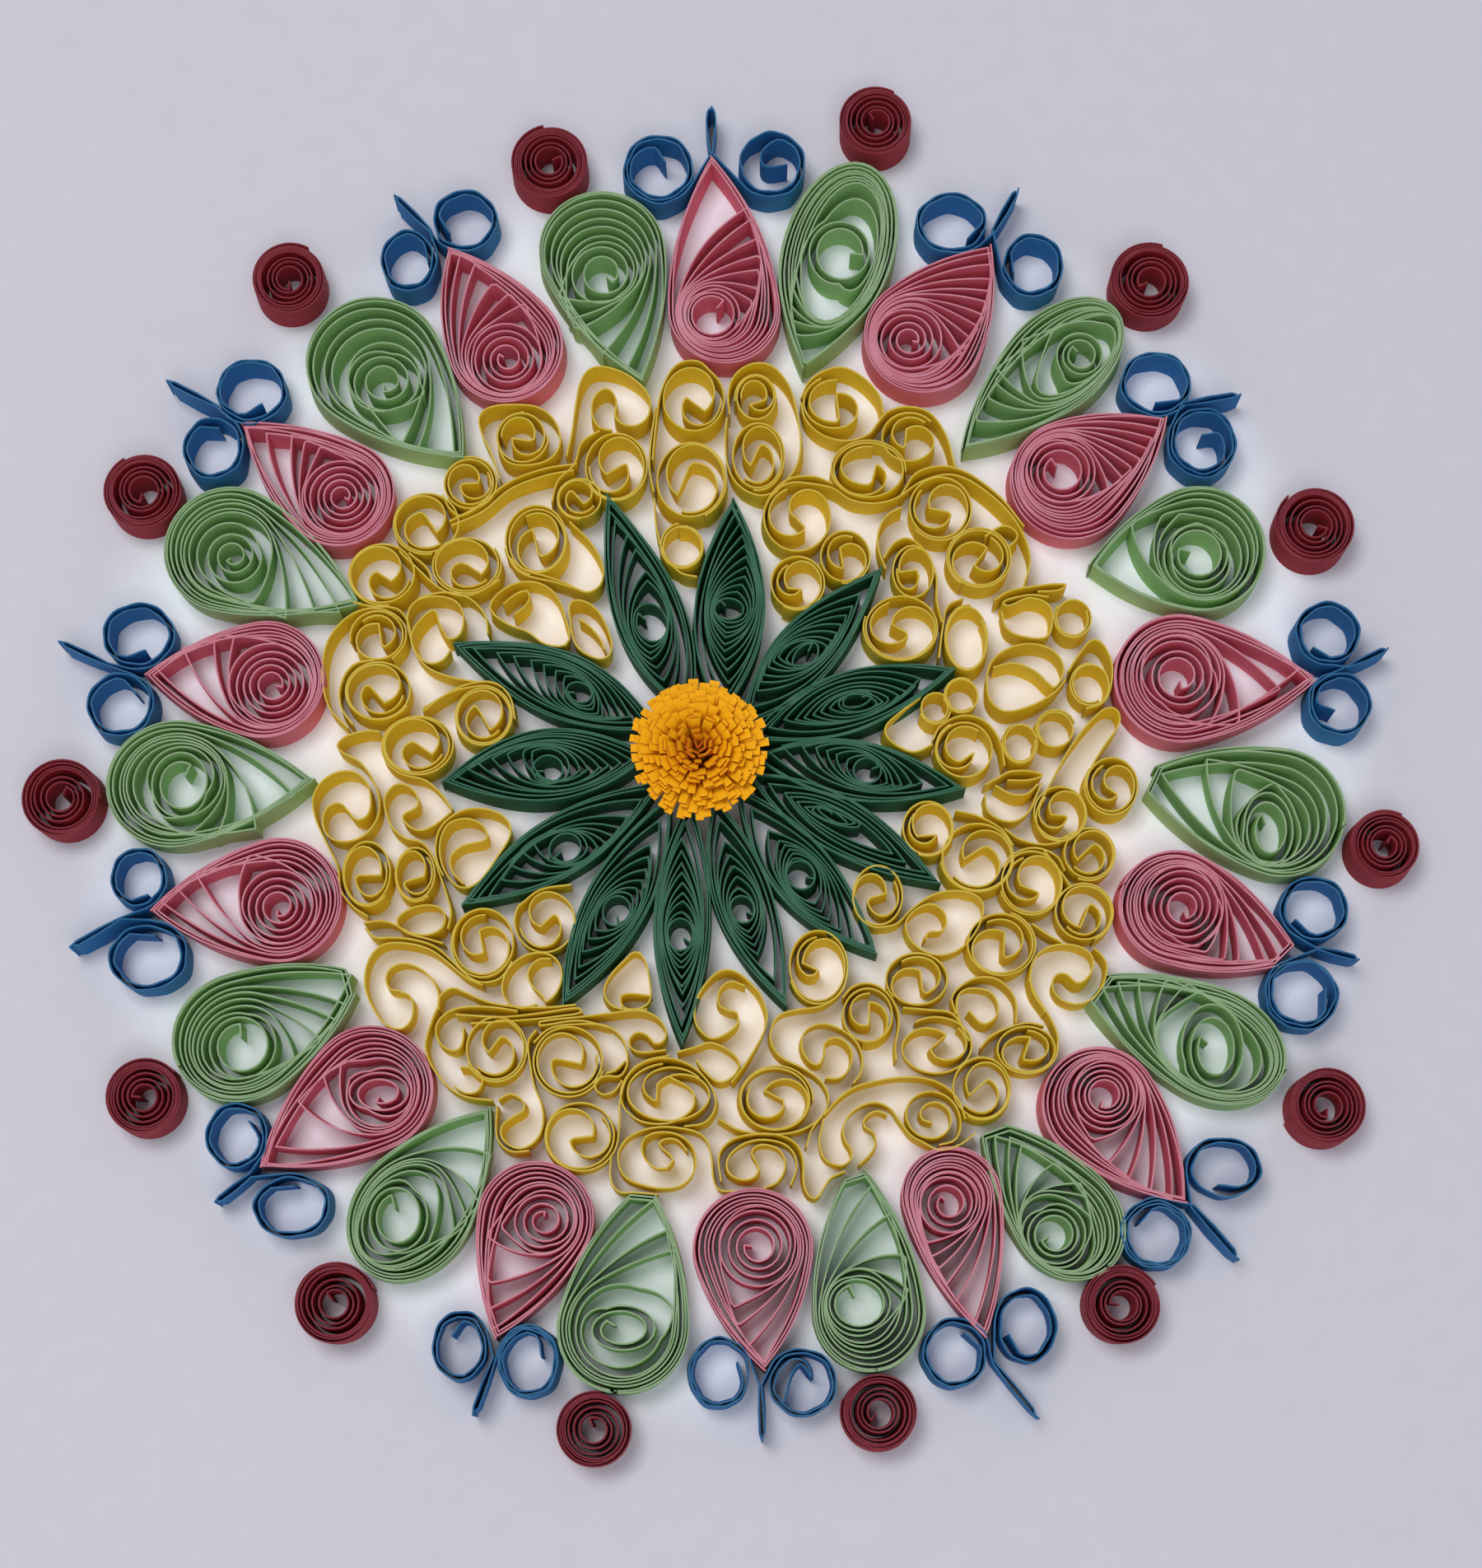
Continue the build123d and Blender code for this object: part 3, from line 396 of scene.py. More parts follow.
# Yellow loops as x, y, half width, half height, the two ends of the bar held by the slotted tool, the way
# they turn, turns, and the points where the strip leaves the loop
LEFT, RIGHT = 1, -1
YELLOW_LOOPS = {
    "left": [
        (-48.2, -15.8, 3.3, 4.5, -46.4, -16, -49.8, -16, LEFT, 1.9),
        (-41.7, -15.8, 2.8, 3.8, -40.6, -16.2, -43.3, -17, LEFT, 1.9),
        (-47.5, 17, 3.6, 3.5, -47.3, 18.8, -46.8, 15.5, LEFT, 1.3),
        (-47.3, 9.4, 4.5, 4.1, -46.4, 7.6, -48.7, 10.2, LEFT, 2.1),
        (-41.8, 1.8, 4.9, 4.2, -39.8, 0.5, -42.3, 2.2, LEFT, 2, [(-40.5, -3), (-38.3, -5), (-36.9, -7)]),
        (-33, 5.9, 4, 4.2, -32, 4, -33.9, 7.5, LEFT, 1.8, [(-37, 9.4), (-41.2, 7)]),
    ],
    "lower_left": [
        (-32.5, -25.2, 4.2, 4.7, -33, -23.6, -32.2, -26.4, RIGHT, 2),
        (-24.2, -22.2, 4, 4.2, -24.8, -23, -23, -21.3, RIGHT, 1.1,
         [(-27.6, -20.1), (-25, -18), (-20.8, -17.2)]),
        (-30.7, -39.4, 4.1, 4.4, -31.5, -39.9, -29.9, -37.7, RIGHT, 2),
        (-21, -41, 4.6, 4.6, -19.3, -41.5, -23, -40.7, LEFT, 2),
        (-7.6, -45.2, 5.6, 3.9, -9, -44.2, -9.1, -46.6, RIGHT, 1.1),
        (-19.3, -51, 4.8, 4.6, -17.6, -51.1, -20.5, -51.5, LEFT, 1.3,
         [(-14.2, -49), (-14.1, -46), (-12.8, -42.6), (-10.5, -41), (-7.5, -40.4)]),
    ],
    "lower_right": [
        (6.5, -46, 4.9, 4.4, 5.2, -45, 7.6, -46.1, RIGHT, 2.4),
        (18.9, -34.9, 3.4, 3.7, 19.2, -33.3, 19.2, -36.3, RIGHT, 1.5),
        (12.3, -28.4, 3.9, 4.9, 10.3, -27.8, 12.4, -28.7, RIGHT, 1.9),
        (25.6, -30.1, 4.1, 3.5, 25.9, -29, 26.3, -32, LEFT, 1.4),
        (28, -38.9, 4.7, 3.7, 29.2, -37.6, 27.2, -39.2, LEFT, 1.2),
        (40, -39.5, 4, 3.2, 40.4, -38, 39.3, -40.9, LEFT, 1.1,
         [(44.1, -37.6), (43, -35), (41.3, -32.2), (40.4, -30)]),
        (34, -44.7, 3.9, 4.2, 32.3, -45.5, 34.7, -43.3, RIGHT, 1.9),
        (20.4, -18.8, 3.4, 4.2, 21.5, -18.5, 19, -19.3, LEFT, 1.2,
         [(22.8, -22.6), (24.8, -20.7), (28, -18.6), (32, -18.2), (34.4, -19.6), (34, -22.7),
          (31.4, -25.9), (28.2, -26.8), (25.2, -25.4), (24, -22.7), (25.4, -20.7), (27.6, -20),
          (29.2, -21.3), (29.1, -23.3), (27, -23.7), (26.6, -24.8)]),
    ],
    "right": [
        (32.2, 1.2, 3.9, 3.9, 33.4, 0.6, 31.6, -0.6, RIGHT, 1.6),
        (52, -3.8, 3.6, 4, 51.4, -3.8, 53, -5, RIGHT, 2.1),
        (45, -7.5, 3.6, 3.7, 43.8, -7.8, 45.9, -8, RIGHT, 1.9),
        (48.8, -13, 3.5, 3.6, 47.2, -13.9, 49.5, -11.7, RIGHT, 1.9),
        (41, -17, 4.2, 4.4, 39.6, -17.4, 42.1, -18.5, RIGHT, 2),
        (48, -21, 3.9, 3.9, 47.4, -23, 48.7, -19.8, RIGHT, 1.9),
        (36.7, -25.4, 4.6, 4.3, 37.2, -23.9, 37, -27.3, LEFT, 2),
        (33.8, -13.6, 5, 4.8, 32, -13.8, 34.8, -12, RIGHT, 2),
        (27.2, -9.6, 3.5, 3.8, 25.8, -10.5, 28.6, -10.3, RIGHT, 1.9),
    ],
    "upper_right": [
        (9.6, 33.9, 4.6, 4.9, 9.4, 33.9, 10.9, 32.2, RIGHT, 1.1,
         [(14.5, 38), (17, 36.4), (20, 35.9), (23, 36.6), (27, 39.2), (31.5, 39.8), (36.5, 36.6),
          (40.2, 32.2), (41.6, 27.8), (40.6, 23.8)]),
        (19.5, 40.6, 5.2, 4.2, 20.7, 41.2, 20, 38.4, RIGHT, 2.1),
        (14.9, 50.2, 4.2, 3.7, 15.2, 51.5, 15.7, 47.4, RIGHT, 0.9),
        (25.3, 45.2, 3.8, 3.5, 24.8, 46.3, 24.6, 43.6, RIGHT, 1.2),
        (29.3, 35.1, 4.3, 4.5, 27.9, 35, 30.8, 34.4, RIGHT, 1.9),
        (34.6, 28, 4.4, 4.3, 35.6, 29.4, 33.7, 27.2, LEFT, 2.5),
        (9.7, 24.4, 3.7, 3.8, 8.5, 23.9, 10.4, 23.7, RIGHT, 1.9),
        (16.2, 28.2, 3.4, 3.7, 15.6, 29.4, 16.1, 26.5, RIGHT, 1.6),
        (23.8, 18.2, 5.1, 4.6, 22.6, 18.6, 24.7, 17.3, RIGHT, 2),
        (25.5, 26.2, 2.8, 3.7, 23.6, 26, 25.8, 26.3, RIGHT, 1.4),
    ],
    "top": [
        (4.3, 42.5, 3.6, 4.8, 3.3, 41.2, 4.7, 44.3, RIGHT, 1.9),
        (4.1, 51, 2.9, 3.4, 3.2, 49.9, 5.4, 50.6, LEFT, 1.9),
        (-15.3, 41, 4.3, 4.8, -16.5, 40, -13.8, 41.6, RIGHT, 2),
        (-20.2, 36.5, 3.1, 2.9, -19.6, 35.8, -21.3, 37.7, LEFT, 1.9),
        (-4.6, 50.7, 4.3, 4.7, -3, 49, -5.4, 51, LEFT, 0.4,
         [(-4, 56.2), (-7, 55.6), (-9, 52), (-9.8, 47), (-10.2, 42)]),
        (-4.9, 39.1, 4.9, 5.5, -6.8, 37.2, -5, 41.6, RIGHT, 1.8),
    ],
    "upper_left": [
        (-47, 25.7, 4.6, 4.3, -45.8, 24.7, -47.7, 26.1, LEFT, 1.9),
        (-35.5, 27, 4.7, 4, -33.5, 25.8, -35.7, 27.3, LEFT, 2.2),
        (-41.2, 33, 4.5, 4.3, -39.7, 31.7, -41.6, 34.5, LEFT, 1.9),
        (-35.2, 38.7, 3.6, 3.6, -34.1, 38.6, -36.5, 38.4, LEFT, 2.3),
        (-28.2, 45.3, 3.4, 3.5, -29.6, 45.2, -26.8, 44.8, LEFT, 1.5),
        (-25.9, 30.5, 4.2, 4.9, -26.5, 32.1, -25.6, 28.4, LEFT, 2.4),
    ],
}

# Turns of a yellow loop: their distance, how far the outside stands past its listed size, degrees a
# point, the sweep in which the strip swings out from the bar, the short tail's sweep, the bar's bends,
# and where a link may leave
LOOP_PITCH = 0.36
LOOP_SWELL = 0.06
SINGLE_TURN = 0.45
ARM_STEP = 9
LEAST_STEPS = 3
ARM_SWING = 165
ARM_START = 0.06
TAIL_SWEEP = 200
BAR_TAIL = 0.25
BAR_TURN = 0.12
LINK_EARLY = 40
BARELY_OUT = 1.0001

# Yellow rings rolled without the tool's bar, as x, y, half width, half height, direction of the outer
# end, turns
YELLOW_RINGS = {
    "right": [
        (47.3, 19.5, 2.6, 2.8, 140, 1.7),
        (49.4, 10.3, 2.7, 3, 90, 1.6),
        (31.9, 8.7, 2.4, 2.5, 60, 1.7),
        (28.4, 7, 2.2, 2.3, 200, 1.6),
        (44.5, 4.1, 2.8, 2.8, 20, 1.6),
        (39.8, 2.1, 2.5, 2.9, 120, 1.7),
    ],
    "upper_right": [(32.8, 16.7, 3.1, 4.7, 80, 1.9)],
    "top": [(-6, 29.6, 3.1, 3.3, 100, 2)],
}
RING_STEPS = 36
RING_PITCH = 0.3

# Yellow strips that bend without a tool's core, as points along them; one that ends where it starts is
# closed
YELLOW_STRIPS = {
    "left": [
        [(-37, -7.3), (-39, -9), (-41, -9.9), (-42.6, -9.4), (-43.6, -7.9), (-41.7, -6.6), (-41.8, -5),
         (-43, -3.8), (-44.6, -3.6), (-46, -5.2), (-46, -7), (-45, -9.5), (-43.2, -11), (-41, -11.6),
         (-39.4, -13.5), (-38.4, -16), (-37.4, -18.7), (-36.8, -21), (-37.2, -23.3)],
        [(-48, -21.6), (-50, -20.3), (-51.8, -18), (-52.2, -15), (-53.6, -12), (-55.4, -8), (-55.6, -5),
         (-53.8, -2.6), (-51, -1.8), (-48.7, -3.1), (-47.9, -5.8), (-48.3, -7.8), (-49.7, -8.5),
         (-51, -7.2), (-52, -6.2), (-53.6, -6.6), (-54.4, -8.5), (-53.6, -10.6), (-51.5, -11.4),
         (-48.9, -10.6), (-47.1, -8.3), (-46.8, -5.8), (-47.6, -3.2), (-49.5, -0.5), (-51.8, 0.8),
         (-52.6, 1.8), (-51.3, 3.1), (-48.5, 3.8), (-46.9, 3.7)],
        [(-51.2, 4.2), (-53.8, 7), (-54.8, 11), (-54.3, 16), (-52, 19.4), (-49, 20.9), (-46, 20.5),
         (-43.9, 18.6), (-43.8, 16), (-45.5, 13.8)],
        [(-50.6, 4.6), (-52.3, 7), (-52.5, 10), (-50.8, 13), (-47.7, 13.8)],
        [(-35.2, -17.2), (-36.7, -15.7), (-37.1, -13.6), (-35.7, -12.1), (-34, -11.6), (-32.3, -11.1),
         (-32.5, -9.6), (-33.5, -8.7), (-35.3, -8.3), (-37.3, -9), (-38.3, -10.9), (-38.4, -13.3),
         (-37.6, -15.6), (-36.1, -17.4), (-34.5, -17.6), (-32.8, -16.4), (-30.9, -13.6), (-29.2, -10.7),
         (-29.3, -8.9), (-30.9, -7.5), (-33.6, -6.9), (-36.2, -7.5), (-38.3, -9.3), (-39, -11.6),
         (-38.8, -14), (-37.9, -16)],
        [(-37.6, 15.2), (-38.6, 13.8), (-40.4, 13.4), (-41.9, 14.6), (-42.7, 16.5), (-42.4, 18),
         (-41.2, 19.6), (-39.9, 20.5), (-39.3, 19), (-38.6, 17.6), (-37.8, 16.6), (-36.5, 17),
         (-35.9, 18.3), (-35.9, 20.1), (-36.6, 21.6), (-38, 22.4), (-39.9, 22.6), (-42, 22.2), (-43.2, 21),
         (-43.5, 19.3), (-43, 16.8), (-42, 14.3), (-40.2, 12.5), (-36.6, 11.2), (-33.6, 10.7)],
        [(-41.2, 6.6), (-38, 8.9), (-35, 10.3), (-31.5, 10.5), (-29.3, 8.6), (-28.6, 5.5)],
        [(-42, 22.3), (-38.5, 23.2), (-35, 22.4), (-32.8, 20), (-32.4, 17.4)],
        [(-51.5, 22), (-48.5, 21.2), (-45, 20.9), (-43.5, 19.3), (-42.8, 16.5)],
    ],
    "lower_left": [
        [(-25.2, -33.4), (-27.5, -33.9), (-29.2, -32.9), (-29.8, -31), (-29, -28.7), (-27, -27),
         (-24.5, -26.5), (-22.6, -27.4), (-21.8, -29.5), (-22.5, -31.8), (-24, -33.1), (-24.4, -32.4),
         (-26.1, -30.6), (-26.3, -29), (-25, -27.5), (-23.4, -27.4)],
        [(-43.7, -23.2), (-44, -21.8), (-41.5, -20.2), (-38.7, -20.2), (-37.6, -21.6), (-38.2, -23.4),
         (-40.7, -24.2), (-43.7, -23.2)],
        [(-48.5, -22.5), (-46, -22.2), (-44, -22.8), (-42.5, -23.8), (-40, -24.5), (-37.8, -25.2)],
        [(-48.3, -23.2), (-47, -24.5), (-44.5, -24.6), (-42, -24.9), (-39, -25.8), (-36.5, -27.8),
         (-34.5, -29.6), (-32.6, -30.4), (-30.2, -29.8), (-28.7, -27.6)],
        [(-43.5, -31.7), (-42.1, -32.4), (-41.7, -33.8), (-42, -35.6), (-43.2, -36.7), (-45.2, -36.2),
         (-47, -34), (-48.1, -31.5), (-48.2, -29), (-47.3, -26.6), (-45.6, -25.3), (-42.5, -25.3),
         (-39.5, -26.2), (-37, -28), (-34.7, -29.9), (-32.5, -30.9)],
        [(-43.5, -31.7), (-44.9, -31.4), (-45.5, -30.1), (-44.9, -28.6), (-43, -27.9), (-40.6, -28.7),
         (-38.8, -30.7), (-38.2, -33), (-39.1, -35.6), (-39.9, -38.7), (-39.5, -40.8), (-38.2, -43),
         (-36.5, -44.8), (-34.3, -45.9), (-31, -46.3)],
        [(-35, -36.5), (-35, -38.3), (-35.5, -39.5), (-36.5, -39.7), (-38, -38.8), (-38.7, -37),
         (-38, -35.3), (-36, -34.1), (-32, -33.9), (-27.8, -34.5)],
        [(-38.3, -34.2), (-38.1, -32.4), (-36.5, -31.3), (-35, -31.8), (-31.7, -33.2), (-28, -33.9),
         (-23.5, -34), (-20, -33.6)],
        [(-35.3, -42), (-34, -42.1), (-32.9, -42.6), (-32.4, -43.7), (-33, -45), (-34.4, -45.3),
         (-36, -44.4)],
        [(-30.2, -46.3), (-28.7, -45.4), (-26.9, -46.3), (-26.7, -47.6), (-28, -48.5), (-29.5, -49.7),
         (-29.5, -51.3), (-27.5, -52.6), (-25.4, -51.8), (-24.3, -49.8), (-24.4, -47), (-25.4, -44.5),
         (-26, -41.5), (-26.3, -38.5), (-25.2, -36.9)],
        [(-30.3, -47), (-30.5, -49.5), (-30.2, -51.6), (-28.5, -53.1), (-26, -53)],
        [(-36, -34.9), (-30, -35.2), (-25, -34.7), (-19.7, -34), (-19.3, -34.5), (-22, -35), (-25, -35.4),
         (-30, -35.8), (-34, -36)],
        [(-15.5, -36.6), (-19.5, -35.7), (-24.8, -36.3), (-24.8, -35.8), (-19.6, -35.2), (-15.9, -34.8),
         (-11.5, -34.4), (-9.3, -35.2), (-8, -36.9), (-8.2, -38.3), (-9.4, -38.8), (-10.5, -37.7),
         (-11.8, -37.3), (-12.8, -38.2), (-12.5, -39.4), (-11, -39.9), (-8, -39.6)],
        [(-25.6, -38.6), (-23.5, -36.7), (-20, -36.1), (-16, -36.3), (-13.8, -38), (-13.1, -41),
         (-14, -43), (-16, -43.1), (-17.4, -44), (-16.6, -45.4), (-14.9, -45.1), (-13.8, -43.6)],
        [(-15.9, -42.7), (-14.6, -42.2), (-13.4, -41)],
        [(-9.9, -32.3), (-13.8, -32.3), (-13.6, -33.8), (-11.4, -33.9), (-10.2, -32.8), (-10.3, -29.8),
         (-10.8, -27.6), (-12, -26.3), (-13.8, -27.6), (-15.6, -29.6), (-16.4, -31.6), (-15.6, -33.4),
         (-13.6, -34.2), (-10.5, -34.1)],
        [(-6.5, -39.9), (-3.9, -39.2), (-2, -38.6), (0.7, -39.9), (1.8, -41.5), (0.8, -43.3), (-1, -43.9),
         (-2.9, -42.4), (-3.9, -40.9)],
        [(2.5, -31), (0.5, -30.4), (-0.9, -31.6), (-1, -33.5), (0.2, -34.3), (1.5, -34.7), (1.4, -36.3),
         (-1, -38), (-2.5, -37.9), (-4.2, -35.6), (-3.4, -31.7), (0, -28.9), (3.8, -31.3), (5.3, -34.5),
         (5.1, -36.7), (3.9, -39.3), (2.4, -41.8), (0.8, -44)],
        [(-7.6, -55.1), (-9.3, -55.1), (-10.8, -53.6), (-10.8, -51.6), (-9.3, -50.7), (-6.5, -50.9),
         (-4.5, -52.6), (-4.2, -55.3), (-5.6, -57.3), (-8, -57.9), (-11, -57.5), (-13.3, -56.5),
         (-14.3, -54.5), (-14, -52.5), (-12.5, -50.9), (-9.5, -49.9), (-6, -50), (-3, -51), (-1.9, -53.7),
         (-1.6, -56.5), (-0.9, -58), (1.4, -58.2)],
        [(-7.6, -55.1), (-7, -54), (-8.4, -52.6), (-8.8, -51.9), (-7.7, -51.4), (-6.4, -51.6), (-5.1, -53)],
        [(-15.3, -53.5), (-15.3, -56.5), (-14.2, -58.3), (-12, -58.4), (-9, -58.6)],
        [(-7.4, -43.2), (-4.4, -45), (-4.4, -47.5), (-7, -49.2), (-9.5, -49.4), (-12, -48.6),
         (-13.7, -46.5), (-13.4, -44), (-11.5, -41.8), (-8.5, -40.8), (-5.5, -41.3), (-3, -43),
         (-1.4, -45.5), (-1.4, -47.5), (-2.8, -49.3), (-5.5, -49.7)],
    ],
    "lower_right": [
        [(4, -54.3), (4.4, -55.6), (3.5, -56.7), (1.7, -56.8), (0.1, -55.6), (0.4, -53.5), (3, -51.7),
         (6.3, -51.6), (8.6, -52.7), (9.4, -55), (8.6, -57.5)],
        [(4, -54.3), (3.4, -53.2), (4.1, -52.3), (5.6, -52.2), (7.3, -53), (7.9, -55), (6.9, -57),
         (5, -57.9)],
        [(-0.6, -57), (-0.9, -53.6), (0.5, -51.7), (3, -50.9), (6.5, -50.9), (9, -52), (10, -54),
         (10.2, -57.2), (10.9, -58.9), (12, -59.2), (12.9, -57.8), (13.8, -56.5), (15.7, -55.6)],
        [(16.1, -29), (15.4, -31.6), (13, -33.5), (9, -34.2), (7, -34.9), (6, -36.5), (5.9, -38.5),
         (7.2, -40.5), (10, -41.9), (12.5, -43.6), (13.6, -46), (12.8, -48.2), (10.5, -50), (7, -50.8),
         (2, -50.4), (-1, -48.8)],
        [(13.1, -40), (12.4, -41.5), (11.1, -41.2), (10, -39.2), (10.4, -37.1), (12.6, -36), (15.2, -36.7),
         (17.3, -38.4), (18.1, -40.4), (17.9, -42.6), (16.9, -44)],
        [(13.1, -40), (13.2, -38.7), (14.4, -38), (15.9, -38.6), (16.7, -40.2), (16.2, -42.2), (15, -43.3),
         (13.2, -43.3)],
        [(15.6, -32.6), (17, -31.1), (19.2, -30.7), (21.3, -31.8), (22.8, -34.1), (23, -36.3), (22.5, -39),
         (22.6, -41)],
        [(23.6, -33.9), (27.2, -34.2), (30, -34.6), (31.4, -36.2)],
        [(27.4, -49.3), (25.9, -48.7), (26, -47.3), (27.8, -46.5), (29.6, -47.7), (29.6, -50),
         (27.7, -51.3), (25.2, -50.7), (23.9, -48.5), (24.6, -46.2), (27, -45.1), (29.6, -46), (31, -48.4),
         (30.5, -51.3), (28.2, -52.2)],
        [(13, -48.7), (12.4, -51.7), (13, -53.9), (15, -54.9), (16.4, -54.2), (16.6, -53), (15.7, -51.5),
         (15.5, -50), (16.3, -48.2), (18, -46.9), (20, -46.5), (21.9, -47.4), (23, -49), (24.6, -51),
         (26.2, -51.9)],
        [(21.4, -48.2), (20, -47.7), (18.6, -48.5), (18.3, -49.6), (19.6, -50.5), (19.9, -52),
         (19.1, -53.5), (17.6, -54.8)],
        [(13, -48.2), (15, -46), (17.2, -44.5), (20, -43.7), (23, -43.2), (26.1, -43.3), (28.6, -44.2),
         (30.6, -46.1), (31.6, -48.8)],
        [(12.8, -48.3), (11.3, -50.2), (10.6, -52.5)],
        [(32.3, -34.4), (34.1, -36.2), (35.8, -35.5), (36.4, -33.9), (35.4, -31.8), (32.9, -31.2),
         (31.2, -31.8), (30.6, -33.5), (31.1, -36), (32.3, -38.4)],
        [(30.7, -34.8), (30.2, -32.4), (32.3, -30.4), (34.6, -29.8), (36.7, -30.4), (38.6, -32.8),
         (38.7, -36)],
        [(33.9, -39.4), (35.3, -37.8), (37.6, -36.6), (40.2, -35.9), (42.4, -36.3)],
        [(26.2, -51.9), (28.2, -52.8), (31, -52), (33, -50.5)],
    ],
    "right": [
        [(36.3, 12.6), (39, 13.2), (42, 12), (44.4, 9.8), (45.2, 10.4), (45.9, 12.5), (44.6, 14.9),
         (41.5, 15.9), (38, 15), (35.9, 13), (35.4, 10), (35.9, 7.8), (37.7, 6.4), (41, 7), (44.3, 8.9),
         (46.1, 11)],
        [(37.6, 20.5), (38.3, 18), (41, 16.9), (43.6, 17), (44.4, 19), (44, 21.3), (41.5, 22.3),
         (37.8, 21.4), (41, 22.8), (44, 22.5)],
        [(36.6, 22), (38.5, 23.2), (42, 24), (46.3, 24.3), (45.6, 23.5), (42.5, 23.3)],
        [(46.6, 12), (48.3, 14.6), (50.2, 16.4), (52, 14.3), (52.4, 11.5), (51.3, 8), (48.7, 7)],
        [(26.3, 8.6), (23.5, 6.5), (21.5, 4.6), (21.6, 3), (23.3, 1.5), (25.5, 0.8), (28, 1.9)],
        [(28, 2.6), (29, 4.4), (32, 5.8), (35, 5), (37, 2.2), (37.6, -1)],
        [(48.4, -4.3), (49.2, -1.7), (51, 1.4), (53.3, 5), (52.8, 6.8), (51, 6.6), (46.9, 1.9),
         (43.8, -3.3), (41.8, -7.4), (42.3, -10), (44.3, -11.1), (46.9, -10)],
        [(42.6, -34.6), (40.7, -31.3), (41, -27.6), (43.1, -25.7), (46.3, -25.4), (48.7, -26.5),
         (49.2, -28.4), (48.1, -30.3), (46.8, -30.8), (45.2, -29.5), (44, -29.8), (43.7, -31.3),
         (44.9, -32.9), (47.3, -33.4), (49.7, -31.9), (50.9, -28.6), (50.3, -27), (49.2, -25.9)],
        [(34.9, -5), (35.4, -7.4), (38.3, -8.6), (40.6, -7.4), (41.8, -5), (42.6, -3.3)],
        [(36.3, -3.7), (38.5, -5), (40.6, -5), (42.2, -3.6)],
        [(34.9, -3.6), (36.5, -2.8), (38.5, -1.8), (42.5, -2.2), (41, -2.9), (38, -3)],
        [(37.5, -9.6), (39.5, -11), (42.5, -11.7), (45, -11.4)],
        [(37.2, -15), (38.5, -13.2), (41.5, -12.2), (44.5, -13.4), (45.5, -15.4)],
        [(30.9, -7.2), (34, -8), (37, -9.7), (38.6, -12)],
        [(42.6, -12.6), (45, -15.8), (46.2, -17.6)],
        [(41, -22.6), (43, -24), (45, -25.1)],
    ],
    "upper_right": [
        [(10.4, 50.8), (11.5, 53.2), (13.5, 54.7), (16, 55.2), (18.6, 53.9), (21, 51.2), (21.6, 48.6)],
        [(10.3, 50.2), (11, 47.7), (13.3, 45.6), (16.5, 44.8), (19.5, 45.7), (20.8, 47.3), (22.2, 48.9),
         (25, 49.6), (28, 48.7), (30.2, 45.5), (31.4, 41)],
        [(5.2, 35), (6.7, 37.7), (9, 39.3), (12.2, 39.5), (14.5, 38.6)],
        [(24, 36.9), (26.5, 40.3), (31.5, 40.8), (37.2, 37), (40.8, 32.5)],
        [(24, 35.2), (22, 34), (20.8, 31.5), (20.9, 29), (21.8, 26.5)],
        [(21.5, 28), (23, 30.2), (25, 30.8), (27.3, 28.9), (28.7, 25.6), (28.7, 22), (29.4, 19)],
        [(28.9, 14), (29.5, 18.5), (30.2, 21.3), (32.3, 22.3)],
        [(35.4, 31), (38, 32.6), (40, 31.3), (38.6, 29.4)],
    ],
    "top": [
        [(0.4, 48.5), (0.3, 51.5), (1.2, 54), (3.4, 55.6), (6, 55.5), (8.3, 53.2), (9.6, 50), (10.3, 46),
         (10.3, 43), (9.4, 40.5), (7.7, 38.4), (5.8, 36.5)],
        [(0.1, 48), (-0.1, 44.5), (0.3, 41), (1.8, 38.3), (4.5, 36.9), (7, 37.4)],
        [(-9.9, 36.5), (-9.6, 32.5), (-8.5, 28.6), (-6.3, 26), (-4, 25.4)],
        [(-15.8, 46.2), (-17.5, 46.6), (-18.6, 48.5), (-18.3, 51), (-16.5, 52.2), (-15.2, 50.5),
         (-15.3, 48), (-13, 46.8), (-10.9, 48), (-10.6, 51), (-12.5, 53.4), (-15.5, 55), (-18.5, 55.2),
         (-20, 53.5), (-20.8, 50), (-21.3, 46), (-22, 42.5)],
        [(-10, 37.4), (-10.6, 40.5), (-10.4, 44.5), (-9.7, 49.5)],
        [(-24, 36), (-23.3, 39), (-21, 41.4), (-20, 44.5), (-17.5, 46.2)],
    ],
    "upper_left": [
        [(-31.1, 39.3), (-32.2, 42.6), (-33.9, 46.5), (-34, 48.2), (-32.8, 49.4), (-30, 49.9), (-26, 49.6),
         (-23.7, 47.7), (-22.9, 44.6), (-24.2, 42.3), (-27, 41.3), (-30, 41.6), (-31.3, 43.5), (-31.6, 46),
         (-30.2, 48.2), (-28, 48.9)],
        [(-38, 33.2), (-34.2, 35.4), (-30, 38.8), (-25, 40.8), (-20.6, 41.6)],
        [(-37.7, 32.6), (-33.6, 34.6), (-29.7, 37.9), (-25, 39.7), (-21, 40.5)],
        [(-38.9, 37), (-38, 35), (-36.3, 33.9), (-32.8, 36)],
        [(-21.5, 33.2), (-18.7, 30.3), (-17, 27), (-17.2, 24.4), (-19, 23.2), (-21.7, 24.3), (-25, 25.5),
         (-27.6, 26.3), (-30, 28.4)],
        [(-30.3, 29.4), (-28.3, 26.2), (-23, 24.6), (-19.8, 23.5)],
        [(-32.2, 21), (-30, 23.9), (-26.5, 24.7), (-23.6, 23.2), (-22, 19.5), (-21.7, 16.2), (-24.5, 16),
         (-27, 17.7), (-30, 18.8), (-32.2, 21)],
        [(-30.4, 21.5), (-28.5, 23), (-27, 23.2), (-27.3, 21.4), (-29, 20)],
